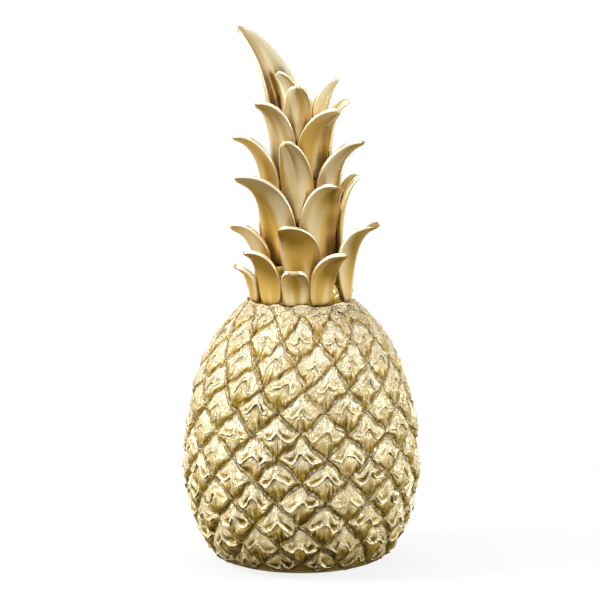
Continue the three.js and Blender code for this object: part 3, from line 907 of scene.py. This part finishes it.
mesh = bpy.data.meshes.new("fruit_skin")
mesh.from_pydata(np.concatenate(points).tolist(), [], [face.tolist() for block in faces for face in block])
for name, values in zip(("shade", "rim", "underside"), np.concatenate(paints).T):
    write(mesh, name, values)
for name, blocks in zip(("fan", "lips", "plan"), zip(*maps)):
    layer = mesh.attributes.new(name, "FLOAT_VECTOR", "POINT")
    layer.data.foreach_set("vector", np.concatenate(blocks).astype(np.float32).ravel())
fruit_skin = add_object("fruit_skin", mesh)
edit_all(bpy.ops.mesh.remove_doubles, threshold=MERGE_DISTANCE)
edit_all(bpy.ops.mesh.dissolve_degenerate, threshold=MERGE_DISTANCE / DEGENERATE_DIVISOR)
edit_all(bpy.ops.mesh.normals_make_consistent, inside=False)
write(mesh, "facing", facing_down(mesh))
bpy.ops.object.shade_smooth_by_angle(angle=CREASE_ANGLE)
print("fruit_skin: triangles and open edges", measure(fruit_skin))
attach(fruit_skin, "root")
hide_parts("fruit_body")

# %% [markdown]
# ## The leaves
# Each leaf of the frame is a cupped blade with a pointed tip. A copy is merged, and its points then lie in
# rings that can be counted from the tip, which is known by its ten neighbours. So each vertex is told how
# far it lies along the leaf, across it and on which face. A Subdivision Surface rounds the leaf and passes
# these numbers on to every new vertex. With them a bead can be raised along the rim and a crease laid down
# the middle.

# %% Reading a leaf
LEAF_NAMES = sorted(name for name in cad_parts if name.startswith("leaf_"))
RINGS_TO_TIP = 7
TIP_NEIGHBOURS = 10


def merged_copy(node, name):
    """A copy of a frame node's mesh with its loose triangles joined."""
    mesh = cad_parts[node].data.copy()
    mesh.materials.clear()
    thing = add_object(name, mesh)
    edit_all(bpy.ops.mesh.remove_doubles, threshold=MERGE_DISTANCE)
    return thing


def leaf_places(mesh):
    """Each vertex's share along and across the leaf, and its side: 1 on the outer face, -1 on the inner."""
    places = np.array([vertex.co[:] for vertex in mesh.vertices])
    neighbours = [set() for _ in places]
    for edge in mesh.edges:
        first, second = edge.vertices
        neighbours[first].add(second)
        neighbours[second].add(first)
    axis = places.mean(0) * (1, 1, 0)
    outwards = axis / np.linalg.norm(axis)
    ends = [i for i, around in enumerate(neighbours) if len(around) == TIP_NEIGHBOURS]
    tip = max(ends, key=lambda i: places[i][2] + places[i] @ outwards)
    steps = np.full(len(places), -1)
    steps[tip] = 0
    front = [tip]
    while front:
        reached = {j for i in front for j in neighbours[i] if steps[j] < 0}
        for j in reached:
            steps[j] = steps[front[0]] + 1
        front = list(reached)
    along = 1 - steps / RINGS_TO_TIP
    across, side = np.zeros(len(places)), np.zeros(len(places))
    for step in range(1, RINGS_TO_TIP + 1):
        ring = np.flatnonzero(steps == step)
        middle = places[ring].mean(0)
        spread = np.linalg.svd(places[ring] - middle)[2][0]
        turned = np.cross((0, 0, 1), outwards)
        spread = spread * np.sign(spread @ turned)
        order = ring[np.argsort((places[ring] - middle) @ spread)]
        for rank in range(0, len(order), 2):
            pair = order[rank : rank + 2]
            across[pair] = rank / (len(order) - 2) * 2 - 1
            outer, inner = sorted(pair, key=lambda i: -(places[i] @ outwards))
            side[outer], side[inner] = 1, -1
    return along, across, side


print(len(LEAF_NAMES), "leaves in the frame")

# %% [markdown]
# ### Rounding a leaf
# A cast leaf has soft faces and a clear rim. It could be modelled with many rings of points, but a
# Subdivision Surface makes them from the few that the frame's leaf has. An edge crease keeps most of the
# rim's sharpness, and three rounds give the bead along it the vertices that it needs.

# %% A rounded leaf
LEAF_LEVELS = 3
ANY_ANGLE = math.radians(100)
RIM_CREASE = 0.75
RIM_START = 0.99


def read(mesh, *names):
    """The numbers that were kept under each name."""
    layers = np.zeros((len(names), len(mesh.vertices)), np.float32)
    for layer, name in zip(layers, names):
        mesh.attributes[name].data.foreach_get("value", layer)
    return layers


def rounded_leaf(node):
    """A copy of a leaf, named as a blade, that is rounded and whose vertices know their places."""
    thing = merged_copy(node, node.replace("leaf", "blade"))
    mesh = thing.data
    for name, values in zip(("along", "across", "side"), leaf_places(mesh)):
        write(mesh, name, values)
    edit_all(bpy.ops.mesh.tris_convert_to_quads, face_threshold=ANY_ANGLE, shape_threshold=ANY_ANGLE)
    across, side = read(mesh, "across", "side")
    creases = []
    for edge in mesh.edges:
        first, second = edge.vertices
        same_rim = min(abs(across[first]), abs(across[second])) > RIM_START and side[first] * side[second] > 0
        to_tip = side[first] * side[second] == 0 and max(abs(across[first]), abs(across[second])) > RIM_START
        creases.append(RIM_CREASE if same_rim or to_tip else 0)
    write(mesh, "crease_edge", creases, "EDGE")
    rounding = thing.modifiers.new("rounding", "SUBSURF")
    rounding.levels = rounding.render_levels = LEAF_LEVELS
    bpy.ops.object.modifier_apply(modifier="rounding")
    return thing


print("a leaf is rounded", LEAF_LEVELS, "times")

# %% [markdown]
# ### Sculpting a leaf
# A slow wave bends the free part of a leaf a little, because cast leaves are never even, and a bead stands
# along its rim. Each leaf has its own depth of painted shade.

# %% All the leaves
FREE_SPAN = (0.15, 0.4)
BEAD_HEIGHT = 0.0003
BEAD_SHARE = 0.07
WAVE_HEIGHT = 0.0006
WAVE_SCALE = 70
CREASE_DEPTH = 0.0009
CREASE_SHARE = 0.1
CREASE_SPAN = (0.25, 0.6)
CREASED = ("leaf_4b", "leaf_6a", "leaf_7a")
# how deep the painted shade is on each leaf
LEAF_SHADE_DEPTHS = {
    "leaf_1c": 1.2, "leaf_1d": 0.9, "leaf_1e": 1.3, "leaf_1f": 1.5, "leaf_2b": 1,
    "leaf_3a": 1.1, "leaf_3b": 1, "leaf_4b": 1.1, "leaf_4c": 1.3, "leaf_5a": 0.9,
    "leaf_5b": 1, "leaf_5e": 1.6, "leaf_6a": 0.9, "leaf_7a": 0.8,
}
USUAL_LEAF_SHADE_DEPTH = 0.5


def sculpt_leaf(node):
    """A rounded leaf with its bead, its wave and, on a few, a crease down the middle."""
    thing = rounded_leaf(node)
    mesh = thing.data
    along, across, side = read(mesh, "along", "across", "side")
    places = np.zeros(3 * len(mesh.vertices), np.float32)
    mesh.vertices.foreach_get("co", places)
    places = places.reshape(-1, 3)
    normals = np.array([normal.vector[:] for normal in mesh.vertex_normals])
    free = smooth(along, *FREE_SPAN)
    bead = bell(1 - np.abs(across), BEAD_SHARE) * free
    waves = np.array([noise.noise(Vector(place) * WAVE_SCALE) for place in places]) * free
    lift = BEAD_HEIGHT * bead
    if node in CREASED:
        lift = lift - CREASE_DEPTH * bell(across, CREASE_SHARE) * (side > 0) * smooth(along, *CREASE_SPAN)
    outwards = np.array([*places[:, :2].mean(0), 0])
    outwards /= np.linalg.norm(outwards)
    places = places + normals * lift[:, None] + outwards * (waves * WAVE_HEIGHT)[:, None]
    mesh.vertices.foreach_set("co", places.astype(np.float32).ravel())
    mesh.update()
    write(mesh, "bead", bead)
    write(mesh, "facing", facing_down(mesh))
    write(mesh, "seed", np.full_like(along, LEAF_NAMES.index(node)))
    write(mesh, "soak", np.full_like(along, LEAF_SHADE_DEPTHS.get(node, USUAL_LEAF_SHADE_DEPTH)))
    bpy.ops.object.shade_smooth()
    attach(thing, "root")
    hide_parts(node)
    return thing


blades = [sculpt_leaf(name) for name in LEAF_NAMES]
triangles, open_edges = np.sum([measure(blade) for blade in blades], axis=0)
print(len(blades), "blades,", triangles, "triangles,", open_edges, "open edges")

# %% [markdown]
# ## Core, plug and felt
# The core that carries the leaves shows only in the gaps between them. A bevel on a merged copy softens its
# ledges as paint does. The plug and the felt close the foot.

# %% Core and plug
CORE_BEVEL = 0.0004
BEVEL_SEGMENTS = 2
BEVEL_ANGLE = math.radians(30)
FLAT_ANGLE = math.radians(40)


def softened(node, name):
    """A merged copy of a turned node with its sharp edges bevelled."""
    thing = merged_copy(node, name)
    edit_all(bpy.ops.mesh.tris_convert_to_quads, face_threshold=FLAT_ANGLE, shape_threshold=FLAT_ANGLE)
    bevel = thing.modifiers.new("soft_edges", "BEVEL")
    bevel.width = CORE_BEVEL
    bevel.segments = BEVEL_SEGMENTS
    bevel.limit_method = "ANGLE"
    bevel.angle_limit = BEVEL_ANGLE
    bpy.ops.object.modifier_apply(modifier="soft_edges")
    bpy.ops.object.shade_smooth_by_angle(angle=FLAT_ANGLE)
    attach(thing, "root")
    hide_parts(node)
    print(name, "triangles and open edges", measure(thing))
    return thing


crown_stem = softened("crown_core", "crown_stem")
foot_plug = softened("base_plug", "foot_plug")

# %% [markdown]
# ### The felt
# The felt is a disc cut from a sheet and glued flat. Insets give its faces the rings that a soft cloth
# needs, and its edge is pressed round.

# %% A felt disc
FELT_FACETS = 96
FELT_ROUND = 0.0003
FELT_RINGS = 6
FELT_RING_SHARE = 1 / 8
LEVEL_NORMAL = 0.5

deselect()
felt_radius = (pad_high.x - pad_low.x) / 2
felt_middle = (pad_low + pad_high) / 2
felt_thickness = pad_high.z - pad_low.z
bpy.ops.mesh.primitive_cylinder_add(
    vertices=FELT_FACETS, radius=felt_radius, depth=felt_thickness, location=felt_middle
)
felt = bpy.context.object
felt.name = "felt_disc"
bpy.ops.object.transform_apply(location=True, rotation=True, scale=True)
bpy.ops.object.mode_set(mode="EDIT")
bpy.ops.mesh.select_all(action="DESELECT")
bpy.ops.mesh.select_mode(type="FACE")
bpy.ops.object.mode_set(mode="OBJECT")
for face in felt.data.polygons:
    face.select = abs(face.normal.z) > LEVEL_NORMAL
bpy.ops.object.mode_set(mode="EDIT")
for _ in range(FELT_RINGS):
    bpy.ops.mesh.inset(thickness=felt_radius * FELT_RING_SHARE)
bpy.ops.object.mode_set(mode="OBJECT")
bevel = felt.modifiers.new("pressed_edge", "BEVEL")
bevel.width = FELT_ROUND
bevel.segments = BEVEL_SEGMENTS
bevel.limit_method = "ANGLE"
bpy.ops.object.modifier_apply(modifier="pressed_edge")
bpy.ops.object.shade_smooth_by_angle(angle=FLAT_ANGLE)
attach(felt, "root")
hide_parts("felt_pad")
print("felt_disc triangles and open edges", measure(felt))

# %% [markdown]
# ## Gilt paint
# The paint is a satin champagne gold with small painted glints. The raised rims and crests carry painted
# highlights that make them nearly white, and brown wash and painted shade lie in the grooves and pockets,
# under the lips and on what faces down. So the base colour goes from cream over champagne to ochre and olive
# by the masks that the shapes left behind, and a fine grain breaks the gloss. A finish first makes its masks.
# Recipes, which are tables of shares, then add them up, and two names together in a recipe stand for the
# product of two masks.

# %% Colours of the paint
# the colour of painted highlights
HIGHLIGHT_CREAM = srgb(253, 247, 228)
CHAMPAGNE = srgb(214, 197, 148)
HONEY = srgb(180, 142, 50)
OCHRE = srgb(166, 135, 48)
# the olive of deep wash and painted shade
OLIVE_WASH_AND_SHADE = srgb(92, 74, 10)
LEAF_LIGHT = srgb(254, 245, 212)
LEAF_GOLD = srgb(210, 172, 88)
# the bronze of painted shade on the leaves
SHADE_BRONZE = srgb(120, 90, 20)
# the brown of the painted shadow in the hollows of the leaves
SHADOW_BROWN = srgb(96, 62, 2)
SHEEN = srgb(244, 222, 164)
print("champagne in linear light:", [round(channel, 3) for channel in CHAMPAGNE[:3]])

# %% Masks, recipes and surfaces
FACTOR, VECTOR = 2, 1
LINE_WIDTH = 0.03


def attribute(tree, name, output=FACTOR):
    return Signal.node(tree, "ShaderNodeAttribute", {"attribute_name": name}, None, output)


def split(tree, vector):
    """The three numbers of a vector."""
    return [Signal.node(tree, "ShaderNodeSeparateXYZ", None, {"Vector": vector}, axis) for axis in range(3)]


def grain(tree, coordinates, scale, detail=2):
    values = {"Vector": coordinates, "Scale": scale, "Detail": detail}
    return Signal.node(tree, "ShaderNodeTexNoise", None, values)


def winding_lines(tree, coordinates, scale, detail=2, level=HALF, width=LINE_WIDTH):
    """Thin lines along which a grain passes a level."""
    return 1 - (grain(tree, coordinates, scale, detail) - level).math("ABSOLUTE").ramp(0, width)


def recipe(masks, shares, total=0):
    """The sum of masks, each times its share."""
    for names, share in shares.items():
        product = share
        for name in names.split():
            product = masks[name] * product
        total = product + total
    return total


def finish(tree, values, relief, depth, strength=1):
    """Close a material with one surface that has these values, and a bump as deep as its relief asks."""
    bump = {"Strength": strength, "Distance": depth, "Height": relief}
    normal = Signal.node(tree, "ShaderNodeBump", None, bump)
    surface = Signal.node(tree, "ShaderNodeBsdfPrincipled", None, {**values, "Normal": normal})
    Signal.node(tree, "ShaderNodeOutputMaterial", None, {"Surface": surface})


def finish_gilt(tree, color, roughness, relief, depth, metallic, gloss):
    values = {"Base Color": color, "Roughness": roughness, "Metallic": metallic}
    finish(tree, {**values, "Specular IOR Level": gloss, "Specular Tint": SHEEN}, relief, depth)


print("a winding line reaches", LINE_WIDTH, "to each side of its level")

# %% [markdown]
# ### The gilt of the fruit
# The eyes carry two coordinate systems as attributes. The plan tells how far a place is from an eye's
# corners, and so where the groove and its channel of wash and painted shade run. The place by the lip tells
# where the pockets, the painted highlight of the hem round them and the painted shadow under the lip are.
# Noise frays both, so that no line looks drawn.

# %% Grains and channel
PATCH_SCALE = 90
DENT_SCALE = 420
DENT_DETAIL = 4
FAN_PITCH = (5.5, 2.2, 1)
STREAK_DETAIL = 3
LOW_SPAN = (0.002, 0.06)
HIGH_SPAN = (0.07, 0.11)
EDGE_FRAY = 0.07
STEEP_SPAN = (-0.03, 0.03)
CHANNEL_BAND = (0.04, 0.07, 0.1, 0.19)
CHANNEL_PATCHES = (0.25, 0.5)
STEEP_CHANNEL_LOSS = 0.4

fruit_gilt, tree = new_material("fruit_gilt")
place = object_place(tree)
height = split(tree, place)[2]
low, high = 1 - height.ramp(*LOW_SPAN), height.ramp(*HIGH_SPAN)
patches = grain(tree, place, PATCH_SCALE)
dents = grain(tree, place, DENT_SCALE, DENT_DETAIL)
fan = attribute(tree, "fan", VECTOR)
fan = Signal.node(tree, "ShaderNodeVectorMath", {"operation": "MULTIPLY"}, {0: fan, 1: FAN_PITCH})
streaks = grain(tree, fan, 1, STREAK_DETAIL)

across, up, bold = split(tree, attribute(tree, "plan", VECTOR))
inside = 1 - across.math("ABSOLUTE") - up.math("ABSOLUTE") + (dents - HALF) * EDGE_FRAY
steep = 1 - (across * up).ramp(*STEEP_SPAN)
# channel: a band of wash and painted shade along the grooves
channel = inside.band(*CHANNEL_BAND) * (1 - steep * STEEP_CHANNEL_LOSS) * patches.ramp(*CHANNEL_PATCHES)
print("fruit_gilt starts with", len(tree.nodes), "nodes")

# %% Pockets, hem and the masks
ASIDE_FRAY = 0.15
ABOVE_FRAYS = (0.07, 0.1)
POCKET_PITCHES = (3.7, 12.5)
POCKET_MIDDLE = 0.14
POCKET_SPAN = (0.5, 1)
HEM_BAND = (0.95, 1.15, 1.2, 1.5)
HEM_SHARE = 0.6
LIP_LINE_BAND = (-0.01, 0.01, 0.02, 0.05)
LIP_SPAN = (-0.02, 0.01)
UNDER_BAND = (-0.12, -0.05, -0.03, -0.005)
FRINGE_SPAN = (0.3, 0.9)
FRINGE_STREAKS = (0.36, 0.6)
FRINGE_DEPTHS = (1.25, -1.1)
SEAM_SPAN = (0.03, 0.06)
CREASE_SCALE = 170
CURL_SCALE = 260
CURL_LEVEL = 0.48
HIGH_SHADE_LOSS = 0.45

aside, above, crisp = split(tree, attribute(tree, "lips", VECTOR))
aside = aside + (dents - HALF) * ASIDE_FRAY
above = above + (streaks - HALF) * ABOVE_FRAYS[0] + (dents - HALF) * ABOVE_FRAYS[1]
from_pocket = (aside * POCKET_PITCHES[0]) ** 2 + ((above - POCKET_MIDDLE) * POCKET_PITCHES[1]) ** 2
from_pocket = from_pocket**HALF
hem = from_pocket.band(*HEM_BAND) * HEM_SHARE + above.band(*LIP_LINE_BAND)
shade, rim, underside, facing = (attribute(tree, name) for name in ("shade", "rim", "underside", "facing"))
# hem and seam carry painted highlight; pocket, under and fringe carry painted shade
masks = {
    "low": low,
    "high": high,
    "dim": 1 - high,
    "bold": bold,
    "patches": patches,
    "dents": dents,
    "streaks": streaks,
    "creases": winding_lines(tree, place, CREASE_SCALE),
    "curls": winding_lines(tree, place, CURL_SCALE, 1, CURL_LEVEL),
    "channel": channel,
    "shallow": 1 - steep,
    "seam": 1 - inside.ramp(*SEAM_SPAN),
    "pocket": (1 - from_pocket.ramp(*POCKET_SPAN)) * crisp,
    "hem": hem.clamped() * above.ramp(*LIP_SPAN) * crisp,
    "under": above.band(*UNDER_BAND) * crisp,
    "fringe": underside.ramp(*FRINGE_SPAN) * ranged(FRINGE_DEPTHS, streaks.ramp(*FRINGE_STREAKS)),
    "shade": shade * (1 - high * HIGH_SHADE_LOSS),
    "rim": rim,
}
print("the fruit has", len(masks), "masks")

# %% The fruit's recipes
FOOT_SPAN = (0, 0.025)
LOWER_SPAN = (0, 0.3)
FACING_SPAN = (0, 0.7)
DOWN_SPAN = (0.2, 0.9)
GLINT_SPAN = (0.56, 0.68)
TENT_SPAN = (0.1, 0.5)
TENT_STREAKS = (0.3, 0.6)
MOTTLE_LEVEL = 0.1
MOTTLE_SHARES = {"patches": 0.3, "streaks": -0.5, "curls": 0.22, "curls bold": -0.14}
# wash and painted shade: the grooves, pockets and channels, the shadow under the lip, the fringes, the foot,
# the lower part and what faces down
WASH_AND_SHADE_SHARES = {
    "shade": 0.8, "lower": 0.2, "lower low": 0.3, "mottle": 1, "mottle high": -0.4, "pocket": 0.75,
    "under": 0.4, "fringe": 0.8, "low": 0.2, "foot": 0.6, "channel": 0.75, "facing": 0.25,
}
# the olive of deep wash in the channels and pockets, and of painted shade where parts face down, at the foot,
# on the fringes and under the lip
OLIVE_WASH_AND_SHADE_SHARES = {
    "down": 0.25, "foot": 0.6, "channel": 0.15, "channel dim": 0.2, "fringe": 0.4, "fringe low": 0.5,
    "shade low": 0.4, "shade dim": 0.2, "under": 0.3, "pocket": 0.2,
}
# painted highlights: rims, the hem round the pockets, the seam, glints, streaks on the tents, creases and the
# shoulder, where wash and shade are thin
HIGHLIGHT_SHARES = {
    "rim": 0.6, "hem": 0.85, "seam shallow": 0.35, "glints dry": 0.5, "tent dry": 0.35, "creases dry": 0.4,
    "high dry": 0.18,
}
ROUGHNESS_SHARES = {"patches": 0.1, "wash": 0.2}
LEAST_ROUGHNESS = 0.2
RELIEF_SHARES = {
    "streaks": 0.5, "dents": 0.5, "dents bold": -0.1, "hem": 0.2, "pocket": -0.2, "under": -0.2,
    "creases": 0.25, "channel": -0.6, "curls": -0.2, "curls bold": 0.15,
}
FRUIT_BUMP = 0.0014
FRUIT_METALLIC = 0.4
FRUIT_GLOSS = 0.4

# painted shade: darker at the foot and where parts face down
masks["foot"] = 1 - height.ramp(*FOOT_SPAN)
masks["lower"] = underside.ramp(*LOWER_SPAN)
masks["facing"] = facing.ramp(*FACING_SPAN)
masks["down"] = facing.ramp(*DOWN_SPAN)
# painted glints
masks["glints"] = dents.ramp(*GLINT_SPAN)
masks["tent"] = above.ramp(*TENT_SPAN) * streaks.ramp(*TENT_STREAKS)
masks["mottle"] = recipe(masks, MOTTLE_SHARES, MOTTLE_LEVEL)
masks["wash"] = recipe(masks, WASH_AND_SHADE_SHARES).clamped()
masks["dry"] = 1 - masks["wash"]
color = masks["wash"].mix(CHAMPAGNE, high.mix(OCHRE, HONEY))
color = recipe(masks, OLIVE_WASH_AND_SHADE_SHARES).clamped().mix(color, OLIVE_WASH_AND_SHADE)
color = recipe(masks, HIGHLIGHT_SHARES).clamped().mix(color, low.mix(HIGHLIGHT_CREAM, LEAF_LIGHT))
roughness = recipe(masks, ROUGHNESS_SHARES, LEAST_ROUGHNESS)
finish_gilt(tree, color, roughness, recipe(masks, RELIEF_SHARES), FRUIT_BUMP, FRUIT_METALLIC, FRUIT_GLOSS)
fruit_skin.data.materials.append(fruit_gilt)
print("fruit_gilt has", len(tree.nodes), "nodes")

# %% [markdown]
# ### The gilt of the leaves
# The leaves were brushed lengthwise, so their grain is stretched along each leaf, and each leaf has a seed
# that gives it its own strokes. Painted shade lies where a leaf faces down and towards its tip, more on its
# right side and as deep as each leaf's share, and a brown painted shadow fills the hollow inner face. The
# beads along the rims carry painted highlights, and the paint grows lighter towards the top of the crown.

# %% The leaves' recipes
LEAF_PATCH_SCALE = 70
SPECKLE_SCALE = 900
STROKE_PITCHES = (1.1, 0.7)
STROKE_SPAN = (0.3, 0.68)
FIBRE_SCALE = 5
FIBRE_SPAN = (0.3, 0.6)
HOLLOW_SIDE = (-0.6, 0)
HOLLOW_ALONG = (0.44, 0.52)
HOLLOW_ASIDE = (0.6, 0.92)
HOLLOW_DEPTHS = (1.2, -0.5)
EDGE_HIGHLIGHT_SPAN = (0.3, 0.7)
UPPER_CROWN_SPAN = (0.15, 0.24)
TURNED_SPAN = (-0.2, 0.1)
LEAF_DOWN_SPAN = (-0.1, 0.5)
TOP_SPAN = (0, 0.75)
LEAF_WASH_AND_SHADE_LEVEL = -0.08
LEAF_WASH_AND_SHADE_SHARES = {"patches": 0.4, "gaps": 0.9, "turned": 0.3, "worn": -0.4, "edging": -1}
SHADOW_SHARES = {"down": 0.6, "top": 0.45}
RIGHT_SHADOWS = (1, 0.4)
STROKE_SHADOWS = (1.1, -0.3)
UPPER_CROWN_SHADOWS = (0.92, -0.15)
EDGE_HIGHLIGHT_SHARE = 0.9
LEAF_ROUGHNESS_SHARES = {"patches": 0.1, "wash": 0.08, "hollow": 0.3}
LEAF_RELIEF_SHARES = {"speckle": 0.15, "patches": 0.7}
LEAF_BUMP = 0.0003
METALLIC = 0.7
GLOSS = 0.5

leaf_gilt, tree = new_material("leaf_gilt")
place = object_place(tree)
names = ("along", "across", "side", "bead", "facing", "seed", "soak")
along, across, side, bead, facing, seed, soak = (attribute(tree, name) for name in names)
coordinates = {0: across * STROKE_PITCHES[0] + seed, 1: along * STROKE_PITCHES[1], 2: seed}
strokes = Signal.node(tree, "ShaderNodeCombineXYZ", None, coordinates)
bands = grain(tree, strokes, 1, 1).ramp(*STROKE_SPAN)
fibres = grain(tree, strokes, FIBRE_SCALE, 1).ramp(*FIBRE_SPAN)
# painted shadow in the hollow inner face, low on the leaf
hollow = (1 - side.ramp(*HOLLOW_SIDE)) * (1 - along.ramp(*HOLLOW_ALONG))
hollow = hollow * (1 - across.math("ABSOLUTE").ramp(*HOLLOW_ASIDE)) * ranged(HOLLOW_DEPTHS, fibres)
# painted highlight along the beads of the upper part of the rims
edging = bead**2 * along.ramp(*EDGE_HIGHLIGHT_SPAN)
# lighter, with less painted shade, towards the top of the crown
worn = split(tree, place)[2].ramp(*UPPER_CROWN_SPAN)
masks = {
    "patches": grain(tree, place, LEAF_PATCH_SCALE),
    "speckle": grain(tree, place, SPECKLE_SCALE),
    "gaps": 1 - bands,
    "hollow": hollow,
    "edging": edging,
    "worn": worn,
    "turned": facing.ramp(*TURNED_SPAN),
    "down": facing.ramp(*LEAF_DOWN_SPAN),
    "top": along.ramp(*TOP_SPAN),
}
# tone by random patches and strokes, with painted shade where a leaf turns down
masks["wash"] = recipe(masks, LEAF_WASH_AND_SHADE_SHARES, LEAF_WASH_AND_SHADE_LEVEL).clamped()
# painted shade where a leaf faces down and towards its tip, more on its right side, away from the light
shadow = recipe(masks, SHADOW_SHARES) * soak * ranged(RIGHT_SHADOWS, across)
shadow = (shadow * ranged(STROKE_SHADOWS, bands) - edging).clamped() * ranged(UPPER_CROWN_SHADOWS, worn)
color = masks["wash"].mix(LEAF_LIGHT, LEAF_GOLD)
color = shadow.mix(color, SHADE_BRONZE)
color = hollow.clamped().mix(color, SHADOW_BROWN)
color = (edging * EDGE_HIGHLIGHT_SHARE).clamped().mix(color, HIGHLIGHT_CREAM)
roughness = recipe(masks, LEAF_ROUGHNESS_SHARES, LEAST_ROUGHNESS)
finish_gilt(tree, color, roughness, recipe(masks, LEAF_RELIEF_SHARES), LEAF_BUMP, METALLIC, GLOSS)
for blade in blades:
    blade.data.materials.append(leaf_gilt)
print("leaf_gilt has", len(tree.nodes), "nodes")

# %% [markdown]
# ### The gilt of the stem
# Between the roots of the leaves the paint has run together in drips. The core is hardly seen there, so a
# patchy coat with a few creases of painted highlight over it is enough, and needs no masks from the shape.

# %% The stem's coat
DRIP_SCALE = 260
DRIP_SPAN = (0.35, 0.6)
DRIP_SHARE = 0.6
STEM_CREASE_SCALE = 160
STEM_CREASE_WIDTH = 0.06
STEM_CREASE_LIGHT = 0.5
STEM_ROUGHNESSES = (0.35, 0.1)
STEM_RELIEF_SHARES = {"drips": 1, "creases": 0.4}
STEM_BUMP = 0.0006

stem_gilt, tree = new_material("stem_gilt")
place = object_place(tree)
drips = grain(tree, place, DRIP_SCALE, 1)
creases = winding_lines(tree, place, STEM_CREASE_SCALE, 1, HALF, STEM_CREASE_WIDTH)
color = (drips.ramp(*DRIP_SPAN) * DRIP_SHARE).mix(OCHRE, LEAF_GOLD)
# creases of painted highlight
color = (creases * STEM_CREASE_LIGHT).mix(color, LEAF_LIGHT)
relief = recipe({"drips": drips, "creases": creases}, STEM_RELIEF_SHARES)
finish_gilt(tree, color, ranged(STEM_ROUGHNESSES, drips), relief, STEM_BUMP, METALLIC, GLOSS)
crown_stem.data.materials.append(stem_gilt)
print("stem_gilt has", len(tree.nodes), "nodes")

# %% [markdown]
# ## Rubber and felt
# The plug is matt dark rubber with a fine speckle. The felt is brown, cloudy and fibrous, with a little
# sheen.

# %% Rubber
DARK_RUBBER = srgb(30, 28, 25)
PALE_RUBBER = srgb(52, 49, 44)
RUBBER_ROUGHNESS = 0.7
SPECK_SCALE = 1500
SPECK_BUMP = 0.0002
SPECK_STRENGTH = 0.3

rubber, tree = new_material("plug_rubber")
specks = grain(tree, object_place(tree), SPECK_SCALE)
values = {"Base Color": specks.mix(DARK_RUBBER, PALE_RUBBER), "Roughness": RUBBER_ROUGHNESS}
finish(tree, values, specks, SPECK_BUMP, SPECK_STRENGTH)
foot_plug.data.materials.append(rubber)
print("plug_rubber has", len(tree.nodes), "nodes")

# %% Felt
DARK_FELT = srgb(52, 38, 26)
PALE_FELT = srgb(98, 76, 54)
FELT_FIBRE_SCALE = 2200
FELT_FIBRE_DETAIL = 4
CLOUD_SCALE = 140
FELT_SHARES = {"fibres": 0.7, "clouds": 0.3}
FELT_SPAN = (0.3, 0.7)
FELT_ROUGHNESS = 0.95
FELT_SHEEN = 0.4
FELT_BUMP = 0.0003
FELT_STRENGTH = 0.6

felt_cloth, tree = new_material("felt_cloth")
place = object_place(tree)
fibres = grain(tree, place, FELT_FIBRE_SCALE, FELT_FIBRE_DETAIL)
clouds = grain(tree, place, CLOUD_SCALE)
color = recipe({"fibres": fibres, "clouds": clouds}, FELT_SHARES).ramp(*FELT_SPAN).mix(DARK_FELT, PALE_FELT)
values = {"Base Color": color, "Roughness": FELT_ROUGHNESS, "Sheen Weight": FELT_SHEEN}
finish(tree, values, fibres, FELT_BUMP, FELT_STRENGTH)
felt.data.materials.append(felt_cloth)
print("felt_cloth has", len(tree.nodes), "nodes")

# %% [markdown]
